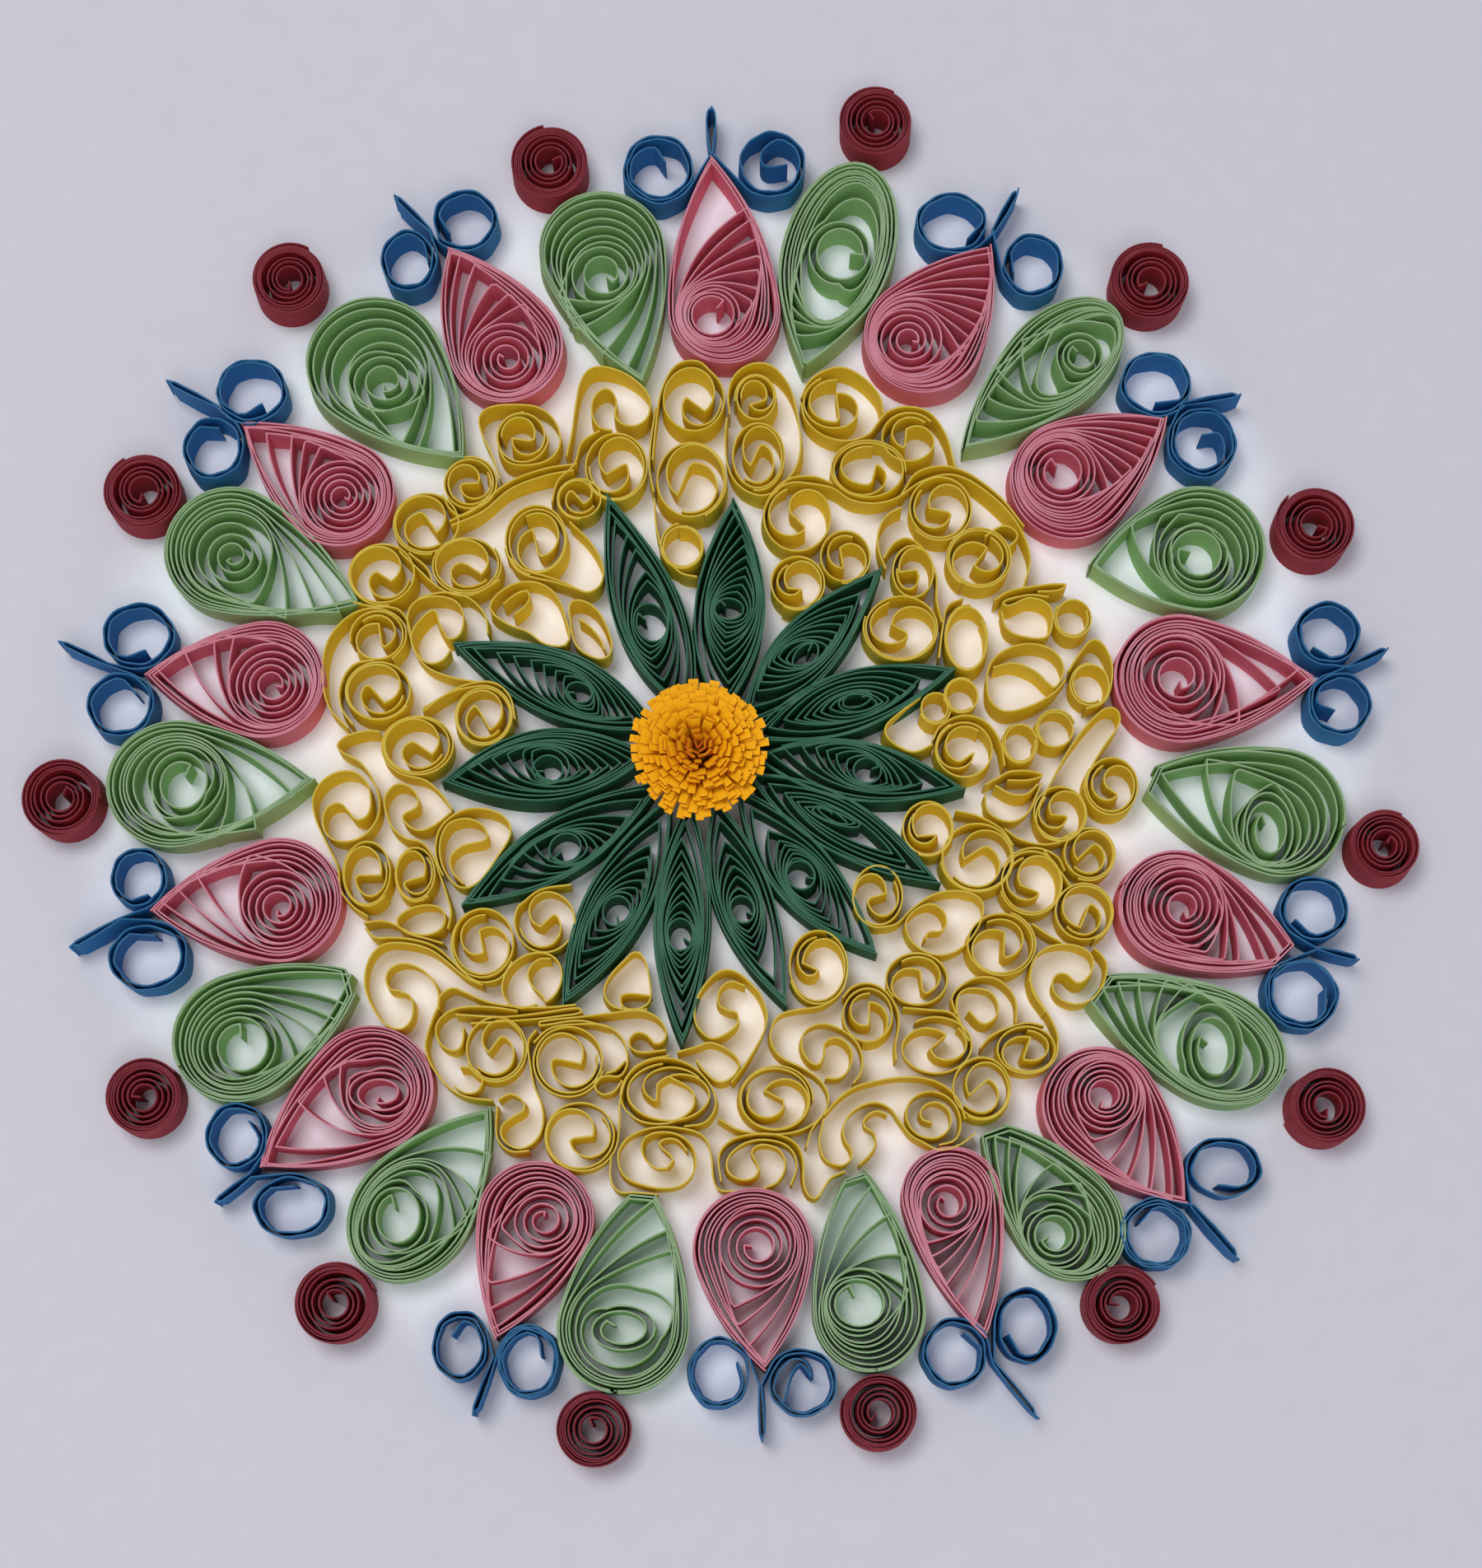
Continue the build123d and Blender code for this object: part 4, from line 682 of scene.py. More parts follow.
        [(-21, 21.8), (-18, 20.9), (-15.9, 17), (-15.9, 14.6), (-17.5, 14), (-20.3, 15.7), (-21.2, 19),
         (-21, 21.8)],
        [(-20, 19.4), (-18.5, 18.3), (-17.1, 16.6), (-16.5, 15.2)],
        [(-44.8, 29), (-42, 26.2), (-40, 24.3), (-37.5, 22.9), (-34.5, 22.9), (-31, 25)],
        [(-43.5, 28.7), (-41, 26.6), (-40.2, 24.8)],
    ],
}

# Fringed flower: rolled at its base, tabs folded out into a dome
FLOWER_CENTRE = (-3.8, 0.4)
FLOWER_HEART = (-3.6, 0.5)
FLOWER_FOOT = STRIP_TOP + 0.25
FLOWER_TOP = 14.7
FLOWER_RIM = 9.5
FLOWER_RADIUS = 9.6
DOME_FALL = 2.0
FLOWER_COIL = 5.4
FLOWER_ROWS = 11
BASE_TURNS = 8
BASE_LOOSE = 7.9
BASE_HEART = 0.1
BASE_RISE = 1.2

# Tabs: size, gap and shape, how much farther those on the upper side reach at any row, in the middle rows
# and at the rim, and how far each tab strays in direction, reach, width and height
TAB_WIDTH = 1.25
TAB_THICKNESS = 0.22
TAB_GAP = 0.1
TAB_LIFT = 0.3
TAB_STEPS = 5
TAB_CURL = 1.7
TAB_FOOT_WIDTH = 0.85
SHARP_TAB = 50
TAB_SEED = 7
LEAST_TABS = 3
UPPER_REACH = 0.05
UPPER_BULGE = 0.12
UPPER_RIM = 0.07
TURN_STRAY = (-0.3, 0.3)
REACH_STRAY = (-0.055, 0.045)
RIM_STRAY = (-0.03, 0.02)
WIDTH_SPREAD = (0.75, 1.15)
RISE_STRAY = (-0.35, 0.25)


def srgb(red, green, blue):
    """A colour written as on a screen, as the linear colour that a shader takes."""
    linear = []
    for value in (red, green, blue):
        share = value / 255
        linear.append(share / 12.92 if share <= 0.04045 else ((share + 0.055) / 1.055) ** 2.4)
    return (*linear, 1.0)


def smoothstep(share):
    """From 0 to 1 with a soft start and a soft end."""
    share = min(max(share, 0.0), 1.0)
    return share * share * (3 - 2 * share)


def between(start, end, share):
    """The place at a share of the way from start to end."""
    return start[0] + (end[0] - start[0]) * share, start[1] + (end[1] - start[1]) * share


def on_oval(oval, angle, reach=1.0):
    """A place on or inside an oval given as x, y, half width and half height."""
    x, y, half_width, half_height = oval
    return x + half_width * reach * math.cos(angle), y + half_height * reach * math.sin(angle)


def seen_from(oval, place):
    """How far from an oval's middle a place lies, where 1 is on its edge, and in which direction."""
    x, y, half_width, half_height = oval
    east, north = (place[0] - x) / half_width, (place[1] - y) / half_height
    return math.hypot(east, north), math.atan2(north, east)


def leaving(oval, angle, sense):
    """The direction in which a strip leaves an oval that it runs round."""
    return -sense * oval[2] * math.sin(angle), sense * oval[3] * math.cos(angle)


def smooth_through(points, steps=STRIP_STEPS, leave=None):
    """A soft curve through given points. It closes where the last point is the first."""
    closed = points[0] == points[-1]
    last = len(points) - 1
    tangents = []
    for k in range(last + 1):
        before = points[k - 1] if k > 0 else points[-2 if closed else 0]
        after = points[k + 1] if k < last else points[1 if closed else -1]
        tangents.append(Vector(after) - Vector(before))
    if leave:
        tangents[0] = Vector(leave)
    curve = []
    for k in range(last):
        start, end = Vector(points[k]), Vector(points[k + 1])
        chord = (end - start).length
        first = tangents[k].normalized() * chord
        second = tangents[k + 1].normalized() * chord
        for step in range(steps):
            t = step / steps
            place = start * (2 * t ** 3 - 3 * t ** 2 + 1) + first * (t ** 3 - 2 * t ** 2 + t)
            place += end * (3 * t ** 2 - 2 * t ** 3) + second * (t ** 3 - t ** 2)
            curve.append((place.x, place.y))
    curve.append(tuple(points[-1]))
    return curve


def spaced(points):
    """Drops points that stand close together, but keeps every fold."""
    kept = [points[0]]
    for k in range(1, len(points) - 1):
        ahead = Vector(points[k + 1]) - Vector(points[k])
        behind = Vector(points[k]) - Vector(points[k - 1])
        folded = ahead.length > 0 and behind.length > 0 and math.degrees(ahead.angle(behind)) > FOLD_BEND
        gap = math.dist(points[k], kept[-1])
        if gap > POINT_GAP or (folded and gap > FOLD_GAP):
            kept.append(points[k])
    kept.append(points[-1])
    return kept


def across_fold(before, point, after):
    """The direction across the strip at a point, and how much the fold there narrows the strip."""
    come = (Vector(point) - Vector(before)) if before != point else (Vector(after) - Vector(point))
    go = (Vector(after) - Vector(point)) if after != point else come
    come.normalize()
    go.normalize()
    normal = Vector((-come.y - go.y, come.x + go.x))
    normal = normal.normalized() if normal.length > SHARPEST_TURN else Vector((-come.y, come.x))
    return normal, max(normal.dot(Vector((-come.y, come.x))), LEAST_SLOPE)


class PaperPiece:
    """Gathers the strips of one piece into one object: walls in one material, cut edges in another."""

    def __init__(self, seed):
        self.places = []
        self.faces = []
        self.slots = []
        self.seed = seed

    def strip(self, line, high=STRIP_TOP, wave=EDGE_WAVE, lean=LEAN):
        """Stands a strip of paper on the card along a line, with an uneven upper edge and a slight lean."""
        closed = math.dist(line[0], line[-1]) < CLOSED_GAP
        line = spaced(line)
        if closed:
            line = line[:-1]
        count = len(line)
        first = len(self.places)
        travelled = 0.0
        self.seed += 1
        for k, point in enumerate(line):
            before = line[k - 1] if k > 0 or closed else point
            after = line[(k + 1) % count] if k < count - 1 or closed else point
            normal, slope = across_fold(before, point, after)
            half = normal * (PAPER / 2 / slope)
            travelled += math.dist(point, before)
            wave_spot = Vector((travelled * WAVE_PITCH, self.seed * WAVE_SEED, 0.0))
            lean_spot = Vector((travelled * LEAN_PITCH, self.seed * LEAN_SEED, LEAN_LAYER))
            rise = wave * noise.noise(wave_spot) - wave * WAVE_DROP
            tip = normal * (lean * 2 * noise.noise(lean_spot))
            top = high + rise
            for side, height, shift in ((1, CARD_TOP, -1), (-1, CARD_TOP, -1), (-1, top, 1), (1, top, 1)):
                place = Vector(point) + half * side + tip * shift
                self.places.append((place.x * MM, place.y * MM, height * MM))
        self.wrap(first, count, closed)

    def wrap(self, first, count, closed):
        """Faces round a strip's cross-sections, and over its two ends where it is open."""
        links = count if closed else count - 1
        for k in range(links):
            a, b = first + 4 * k, first + 4 * ((k + 1) % count)
            for edge in range(4):
                near, far = edge, (edge + 1) % 4
                self.faces.append((a + near, a + far, b + far, b + near))
                self.slots.append(1 if edge == 2 else 0)
        if not closed:
            end = first + 4 * (count - 1)
            self.faces.append((first + 3, first + 2, first + 1, first))
            self.faces.append((end, end + 1, end + 2, end + 3))
            self.slots += [1, 1]

    def build(self, name, wall, edge, sharp=SHARP_FOLD):
        """Makes the object, smooth along the strips and sharp at their edges and folds."""
        mesh = bpy.data.meshes.new(name)
        mesh.from_pydata(self.places, [], self.faces)
        mesh.materials.append(wall)
        mesh.materials.append(edge)
        mesh.polygons.foreach_set("material_index", self.slots)
        mesh.polygons.foreach_set("use_smooth", [True] * len(self.faces))
        mesh.set_sharp_from_angle(angle=math.radians(sharp))
        mesh.update()
        piece = bpy.data.objects.new(name, mesh)
        bpy.context.scene.collection.objects.link(piece)
        return piece


def teardrop_point(corner, centre, along, across, axis, share, bulge):
    """A place on one turn: from its fold, down one side, round the far end and up the other side."""
    cosine, sine = math.cos(axis), math.sin(axis)
    east, north = corner[0] - centre[0], corner[1] - centre[1]
    x = (east * cosine + north * sine) / along
    y = (north * cosine - east * sine) / across
    reach = math.hypot(x, y)
    size = min((reach + 1) / (LEAST_REACH + 1), 1.0)
    shift_x, shift_y = -(1 - size) * x / reach, -(1 - size) * y / reach
    x, y = (x - shift_x) / size, (y - shift_y) / size
    reach = math.hypot(x, y)

    def world(u, v):
        u, v = (shift_x + u * size) * along, (shift_y + v * size) * across
        return centre[0] + u * cosine - v * sine, centre[1] + u * sine + v * cosine

    ahead = math.atan2(y, x)
    spread = math.acos(min(1 / reach, 1)) + math.radians(bulge) * min(1.0, (reach - 1) * BULGE_ONSET)
    if SIDE_SHARE <= share <= 1 - SIDE_SHARE:
        angle = ahead - spread - (2 * math.pi - 2 * spread) * (share - SIDE_SHARE) / (1 - 2 * SIDE_SHARE)
        return world(math.cos(angle), math.sin(angle))
    t = (share if share < SIDE_SHARE else 1 - share) / SIDE_SHARE
    sign = -1 if share < SIDE_SHARE else 1
    angle = ahead + sign * spread
    end = (math.cos(angle), math.sin(angle))
    pull = math.dist((x, y), end) / 2
    handle = (end[0] + sign * math.sin(angle) * pull, end[1] - sign * math.cos(angle) * pull)
    weights = ((1 - t) ** 2, 2 * t * (1 - t), t * t)
    return world(*(sum(w * p[axis] for w, p in zip(weights, ((x, y), handle, end))) for axis in (0, 1)))


def teardrop_line(tip, centre, along, across, eye, coil_width, coil_height, coil_turns, open_share, folds,
                  other=None):
    """One strip: tight outer turns that share the tip, turns that fold along a wall, and the loose coil."""
    chance = random.Random(round(tip[0] * 10))
    other = other or tip
    middle = between(tip, other, 0.5)
    axis = math.atan2(middle[1] - centre[1], middle[0] - centre[0])
    back = (math.cos(axis), math.sin(axis))
    tight = TIGHT_TURNS if len(folds) < MANY_FOLDS else TIGHT_TURNS - 1
    turns = []
    for k in range(tight):
        depth = PAPER / 2 + k * TURN
        corners = []
        for end in (tip, other):
            corners.append((end[0] - back[0] * depth * TEARDROP_TIP, end[1] - back[1] * depth * TEARDROP_TIP))
        turns.append((corners, centre, along - depth, across - depth, SIDE_BULGE))
    skin = PAPER / 2 + tight * TURN
    shrink = min(along, across) - skin - (coil_width + coil_height) / 2
    room = max(shrink - math.dist(eye, centre), LEAST_ROOM)
    band = min(len(folds) * PAPER * BAND_TURN / room, BAND_MOST)
    for k, fold in enumerate(folds):
        share = (k + 1) / len(folds)
        depth = skin + shrink * band * share
        corner = (fold[0] + chance.uniform(-FOLD_STRAY, FOLD_STRAY),
                  fold[1] + chance.uniform(-FOLD_STRAY, FOLD_STRAY))
        shifted = between(centre, eye, band * share)
        turns.append(([corner, corner], shifted, along - depth, across - depth, SIDE_BULGE * (1 - share)))

    def point(turn, share):
        corners, *shape, bulge = turn
        return teardrop_point(corners[0 if share < 0.5 else 1], *shape, axis, share, bulge)

    coil = (eye, coil_width, coil_height, 0)
    return wound_line(turns, point, TEARDROP_STEPS, folds[-1], coil, coil_turns, open_share)


def petal_point(outer, inner, middle, half_width, fullness, share):
    """A place on one turn of a petal: from the outer point down one side to the inner point and back."""
    length = math.dist(outer, inner)
    side = 1 if share < 0.5 else -1
    across = ((outer[1] - inner[1]) / length * side, (inner[0] - outer[0]) / length * side)
    t = share * 2 if share < 0.5 else 2 - share * 2
    bulge = (middle[0] + across[0] * half_width * 4 / 3, middle[1] + across[1] * half_width * 4 / 3)
    first = (bulge[0] + (outer[0] - middle[0]) * fullness, bulge[1] + (outer[1] - middle[1]) * fullness)
    rounder = fullness + INNER_ROUNDER
    second = (bulge[0] + (inner[0] - middle[0]) * rounder, bulge[1] + (inner[1] - middle[1]) * rounder)
    weights = ((1 - t) ** 3, 3 * t * (1 - t) ** 2, 3 * t * t * (1 - t), t ** 3)
    return tuple(sum(w * p[axis] for w, p in zip(weights, (outer, first, second, inner))) for axis in (0, 1))


def petal_line(outer, inner, middle, half_width, eye, coil_along, coil_across, outer_folds, inner_folds):
    """One strip: tight pointed turns, looser ones folding nearer and nearer to the eye, and an open coil."""
    chance = random.Random(round(outer[0] * 10))
    length = math.dist(outer, inner)
    back = ((outer[0] - inner[0]) / length, (outer[1] - inner[1]) / length)
    turns = []
    for k in range(TIGHT_TURNS):
        depth = PAPER / 2 + k * TURN
        ends = []
        for end, way in ((outer, 1), (inner, -1)):
            ends.append((end[0] - back[0] * depth * PETAL_TIP * way,
                         end[1] - back[1] * depth * PETAL_TIP * way))
        turns.append((*ends, middle, half_width - depth, FULLNESS))
    skin = PAPER / 2 + TIGHT_TURNS * TURN
    snug = coil_across * COIL_SNUG
    for k, folds in enumerate(zip(outer_folds, inner_folds)):
        share = (k + 1) / len(outer_folds)
        shifted = between(middle, eye, share)
        width = half_width - skin + (snug - half_width + skin) * share
        width += chance.uniform(-WIDTH_STRAY, WIDTH_STRAY)
        turns.append((*folds, shifted, width, FULLNESS + FULLNESS_GAIN * share))

    def point(turn, share):
        return petal_point(*turn, share)

    coil = (eye, coil_along, coil_across, math.atan2(back[1], back[0]))
    return wound_line(turns, point, PETAL_STEPS, outer_folds[-1], coil, PETAL_COIL_TURNS, PETAL_COIL_OPEN)


def coil_place(coil, start, turns):
    """A place on an oval coil given as eye, radius along and across its axis, and the axis's direction."""
    eye, along, across, axis = coil
    angle = start - 2 * math.pi * turns
    u, v = along * math.cos(angle), across * math.sin(angle)
    return eye[0] + u * math.cos(axis) - v * math.sin(axis), eye[1] + u * math.sin(axis) + v * math.cos(axis)


def wound_line(turns, point, steps, last_fold, coil, coil_turns, open_share):
    """Follows nested turns, each passing into the next, then the loose coil at the eye and its bent end."""
    eye, along, across, axis = coil
    east, north = last_fold[0] - eye[0], last_fold[1] - eye[1]
    start = math.atan2((north * math.cos(axis) - east * math.sin(axis)) / across,
                       (east * math.cos(axis) + north * math.sin(axis)) / along)
    line = []
    for turn, following in zip(turns, turns[1:] + [None]):
        for step in range(steps):
            share = step / steps
            here = point(turn, share)
            if following:
                line.append(between(here, point(following, share), share))
            else:
                line.append(between(here, coil_place(coil, start, share), smoothstep(share)))
        if following:
            line.append(point(following, 1))
    count = int(coil_turns * EYE_STEPS)
    for step in range(count + 1):
        share = step / count
        reach = 1 + (open_share - 1) * share ** EYE_CLOSING
        line.append(coil_place((eye, along * reach, across * reach, axis), start, share * coil_turns))
    line.append(between(line[-1], eye, EYE_BEND))
    return line


def coil_line(x, y, radius, turns, start, loose=MAROON_LOOSE, heart=MAROON_HEART):
    """A round coil whose outer turns lie tight and whose last turns open, with the end bent inward."""
    band = radius - PAPER / 2 - (turns - loose) * COIL_TURN
    line = []
    for k in range(int(turns * COIL_STEPS) + 1):
        turn = k / COIL_STEPS
        reach = radius - PAPER / 2 - turn * COIL_TURN
        if turn > turns - loose:
            share = (turn - turns + loose) / loose
            reach = band + (radius * heart - band) * share ** COIL_OPENING
        line.append(on_oval((x, y, reach, reach), math.radians(start) + 2 * math.pi * turn))
    line.append(between(line[-1], (x, y), COIL_BEND))
    return line


def tool_loop(x, y, half_width, half_height, east, north, west, south, sense, turns, link=None):
    """One yellow loop: short tail, the bar where the slotted tool held the strip, the turns and the link."""
    oval = (x, y, half_width, half_height)
    size = (half_width + half_height) / 2
    outer_edge = 1 + LOOP_SWELL / size

    def seen(place):
        reach, towards = seen_from(oval, place)
        return reach, math.degrees(towards)

    def arm(start, sweep, edge_in, edge_out):
        reach_in, angle_in = seen(start)
        line = []
        steps = max(int(sweep / ARM_STEP), LEAST_STEPS)
        for k in range(steps + 1):
            swept = sweep * k / steps
            edge = edge_in + (edge_out - edge_in) * k / steps
            reach = reach_in + (edge - reach_in) * smoothstep(swept / ARM_SWING + ARM_START)
            line.append(on_oval(oval, math.radians(angle_in + sense * swept), reach))
        return line

    begin = (east, north)
    total = turns * 360
    if link:
        reach, towards = seen(link[0])
        leave = towards - sense * math.degrees(math.acos(1 / max(reach, BARELY_OUT)))
        total = (sense * (leave - seen(begin)[1])) % 360
        while total < turns * 360 - LINK_EARLY:
            total += 360
    inner_edge = outer_edge - max(0.0, total / 360 - SINGLE_TURN) * LOOP_PITCH / size
    outer = arm(begin, total, inner_edge, outer_edge)
    tail = arm((west, south), TAIL_SWEEP, inner_edge - LOOP_PITCH / size, inner_edge - LOOP_PITCH / size)
    middle = ((east + west) / 2, (north + south) / 2)
    bar = [between((west, south), middle, BAR_TAIL), between(begin, middle, BAR_TURN)]
    line = tail[:0:-1] + bar + outer
    if link:
        leave = leaving(oval, math.radians(seen(begin)[1] + sense * total), sense)
        line += smooth_through([outer[-1]] + link, LINK_STEPS, leave)[1:]
    return line


def ring_line(x, y, half_width, half_height, start, turns):
    """A plain ring of a few loose turns."""
    line = []
    for k in range(int(turns * RING_STEPS) + 1):
        inset = RING_PITCH * k / RING_STEPS
        angle = math.radians(start) + 2 * math.pi * k / RING_STEPS
        line.append(on_oval((x, y, half_width - inset, half_height - inset), angle))
    return line


def blue_leg(tail, parting, loop, side, tail_shape=PRESSED_TAIL):
    """From the fold at the tail's tip, down beside the other leg, and round its own loop."""
    *oval, turns, hook = loop
    x, y, half_width, half_height = oval
    heading = Vector(parting) - Vector(tail)
    across = Vector((-heading.y, heading.x)).normalized() * side * PAPER * LEG_GAP
    sense = 1 if heading.cross(Vector((x, y)) - Vector(parting)) > 0 else -1
    reach, towards = seen_from(oval, parting)
    angle = towards + (sense * math.acos(1 / reach) if reach > 1 else 0)
    size = (half_width + half_height) / 2
    sweep = turns * 2 * math.pi
    if hook:
        end = seen_from(oval, hook[0])[1]
        sweep = (sense * (end - angle) - HOOK_SWING) % (2 * math.pi)
        while sweep < turns * 2 * math.pi - HOOK_EARLY:
            sweep += 2 * math.pi
    line = [(tail[0] - heading.x * TAIL_OVERLAP * side, tail[1] - heading.y * TAIL_OVERLAP * side)]
    for share, spread in tail_shape:
        line.append((tail[0] + heading.x * share + across.x * spread,
                     tail[1] + heading.y * share + across.y * spread))
    steps = int(sweep * BLUE_STEPS)
    for k in range(steps + 1):
        share = k / steps
        place = angle + sense * sweep * share
        kink = BROAD_KINK * math.sin(place * BROAD_PITCH + x)
        kink += FINE_KINK * math.sin(place * FINE_PITCH + y + share * FINE_DRIFT)
        inset = 1 - PAPER / 2 / size - BLUE_BAND / size * share + kink
        line.append(on_oval(oval, place, inset))
    place = angle + sense * sweep
    if hook:
        line += smooth_through([line[-1]] + hook, STRIP_STEPS, leaving(oval, place, sense))[1:]
    else:
        line.append(on_oval(oval, place + sense * STUB_SWING, STUB_REACH))
    return line


def noise_node(nodes, links, place, scale, detail):
    """Noise that stays with the piece it is on."""
    texture = nodes.new("ShaderNodeTexNoise")
    texture.inputs["Scale"].default_value = scale
    texture.inputs["Detail"].default_value = detail
    links.new(place, texture.inputs["Vector"])
    return texture


def ramp_node(nodes, links, value, low, high):
    """A change from one colour to another between two values, each given as position and colour."""
    ramp = nodes.new("ShaderNodeValToRGB")
    for element, (position, colour) in zip(ramp.color_ramp.elements, (low, high)):
        element.position = position
        element.color = colour
    links.new(value, ramp.inputs["Fac"])
    return ramp.outputs["Color"]


def mix_node(nodes, links, factor, first, second, blend="MIX"):
    """Mixes two colours. Each input is another node's output, or a plain number or colour."""
    mix = nodes.new("ShaderNodeMix")
    mix.data_type = "RGBA"
    mix.blend_type = blend
    for name, source in (("Factor", factor), ("A", first), ("B", second)):
        if isinstance(source, bpy.types.NodeSocket):
            links.new(source, mix.inputs[name])
        else:
            mix.inputs[name].default_value = source
    return mix.outputs["Result"]


def paper_material(name, colour, pale, roughness=0.75, mottle=0.35, fibre=0.12):
    """Coloured paper: blotches of a paler tone, fine fibres in the colour and in the surface."""
    material = bpy.data.materials.new(name)
    material.use_nodes = True
    nodes, links = material.node_tree.nodes, material.node_tree.links
    shader = nodes["Principled BSDF"]
    shader.inputs["Roughness"].default_value = roughness
    shader.inputs["Specular IOR Level"].default_value = PAPER_SPECULAR
    place = nodes.new("ShaderNodeTexCoord").outputs["Object"]
    blotches = noise_node(nodes, links, place, BLOTCH_SCALE, BLOTCH_DETAIL)
    fibres = noise_node(nodes, links, place, FIBRE_SCALE, FIBRE_DETAIL)
    bare, full = (0, 0, 0, 1), (mottle, mottle, mottle, 1)
    share = ramp_node(nodes, links, blotches.outputs["Fac"], (BLOTCH_FROM, bare), (BLOTCH_FULL, full))
    tone = mix_node(nodes, links, share, colour, pale)
    grain = mix_node(nodes, links, fibre, tone, fibres.outputs["Color"], "OVERLAY")
    links.new(grain, shader.inputs["Base Color"])
    bump = nodes.new("ShaderNodeBump")
    bump.inputs["Strength"].default_value = FIBRE_STRENGTH
    bump.inputs["Distance"].default_value = FIBRE_DEPTH
    links.new(fibres.outputs["Fac"], bump.inputs["Height"])
    links.new(bump.outputs["Normal"], shader.inputs["Normal"])
    return material


def make_papers():
    """Wall and cut-edge materials by the record's slot."""
    papers = {}
    for slot, (wall, wall_pale, edge, edge_pale) in PAPER_TONES.items():
        papers[slot] = (
            paper_material(slot + "_wall", srgb(*wall), srgb(*wall_pale)),
            paper_material(slot + "_edge", srgb(*edge), srgb(*edge_pale), roughness=0.85, mottle=0.6),
        )
    return papers


def stand_in(piece, slot, *nodes):
    """Lets a piece ride on the part in the place of its plain nodes; the slot is not used."""
    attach(piece, "root")
    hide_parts(*nodes)


def make_maroon_coils(papers):
    for group, coils in MAROON_COILS.items():
        piece = PaperPiece(seed=len(group))
        for coil in coils:
            piece.strip(coil_line(*coil))
        made = piece.build(f"maroon_rolls_{group}", *papers["maroon_paper"])
        stand_in(made, "maroon_paper", f"maroon_coils_{group}")


def make_teardrops(papers):
    kinds = (
        ("pink_teardrop", PINK_TEARDROPS, "pink_paper"),
        ("light_green_teardrop", GREEN_TEARDROPS, "light_green_paper"),
    )
    for name, sizes, slot in kinds:
        for number, teardrop in enumerate(sizes, 1):
            piece = PaperPiece(seed=number * TEARDROP_SEED)
            piece.strip(teardrop_line(*teardrop))
            made = piece.build(f"{name}_roll_{number:02d}", *papers[slot])
            stand_in(made, slot, f"{name}_{number:02d}")


def make_petals(papers):
    for number, petal in enumerate(PETALS, 1):
        piece = PaperPiece(seed=number * PETAL_SEED)
        piece.strip(petal_line(*petal))
        made = piece.build(f"petal_roll_{number:02d}", *papers["dark_green_paper"])
        stand_in(made, "dark_green_paper", f"dark_green_petal_{number:02d}")


def make_blue_scrolls(papers):
    for group, scrolls in BLUE_SCROLLS.items():
        piece = PaperPiece(seed=len(group) * BLUE_SEED)
        for tail, parting, one, two, *tail_shape in scrolls:
            piece.strip(blue_leg(tail, parting, one, 1, *tail_shape)[::-1])
            piece.strip(blue_leg(tail, parting, two, -1, *tail_shape))
        made = piece.build(f"blue_rolls_{group}", *papers["blue_paper"])
        stand_in(made, "blue_paper", f"blue_scrolls_{group}")


def make_yellow_scrolls(papers):
    for group, loops in YELLOW_LOOPS.items():
        piece = PaperPiece(seed=len(group) * YELLOW_SEED)
        for loop in loops:
            piece.strip(tool_loop(*loop))
        for ring in YELLOW_RINGS.get(group, []):
            piece.strip(ring_line(*ring))
        for strip in YELLOW_STRIPS[group]:
            piece.strip(smooth_through(strip))
        made = piece.build(f"yellow_rolls_{group}", *papers["yellow_paper"])
        stand_in(made, "yellow_paper", f"yellow_scrolls_{group}")


def tab_profile(out, rise):
    """A tab's curve from the rolled base out over the dome, as distance from the heart and height."""
    radius = FLOWER_RADIUS * out
    foot = FLOWER_COIL * min(out, 1.0)
    top = FLOWER_TOP - (FLOWER_TOP - FLOWER_RIM) * out ** DOME_FALL + rise
    profile = []
    for k in range(TAB_STEPS + 1):
        t = k / TAB_STEPS
        reach = foot + (radius - foot) * t ** TAB_CURL
        height = FLOWER_FOOT + TAB_LIFT + (top - FLOWER_FOOT - TAB_LIFT) * (1 - (1 - t) ** TAB_CURL)
        profile.append((reach, height))
    return profile


def add_tab(piece, angle, out, width, rise):
    """One square-ended tab of the fringe: up from the rolled base, then folded outward over the dome."""
    profile = tab_profile(out, rise)
    centre = between(FLOWER_HEART, FLOWER_CENTRE, out)
    direction = Vector((math.cos(angle), math.sin(angle)))
    across = Vector((-direction.y, direction.x)) * (width / 2)
    first = len(piece.places)
    for k, (reach, height) in enumerate(profile):
        after = profile[min(k + 1, TAB_STEPS)]
        before = profile[max(k - 1, 0)]
        slope = Vector((after[0] - before[0], after[1] - before[1])).normalized()
        lift = Vector((-slope.y, slope.x)) * (TAB_THICKNESS / 2)
        narrow = 1.0 if k > 1 else TAB_FOOT_WIDTH
        for side, face in ((1, 1), (-1, 1), (-1, -1), (1, -1)):
            flat = Vector(centre) + direction * (reach + lift.x * face) + across * side * narrow
            piece.places.append((flat.x * MM, flat.y * MM, min(height + lift.y * face, FLOWER_TOP) * MM))
    for k in range(TAB_STEPS):
        a, b = first + 4 * k, first + 4 * (k + 1)
        for edge in range(4):
            near, far = edge, (edge + 1) % 4
            piece.faces.append((a + near, b + near, b + far, a + far))
            piece.slots.append(0 if edge in (0, 2) else 1)
    end = first + 4 * TAB_STEPS
    piece.faces.append((first, first + 1, first + 2, first + 3))
    piece.faces.append((end + 3, end + 2, end + 1, end))
    piece.slots += [1, 1]


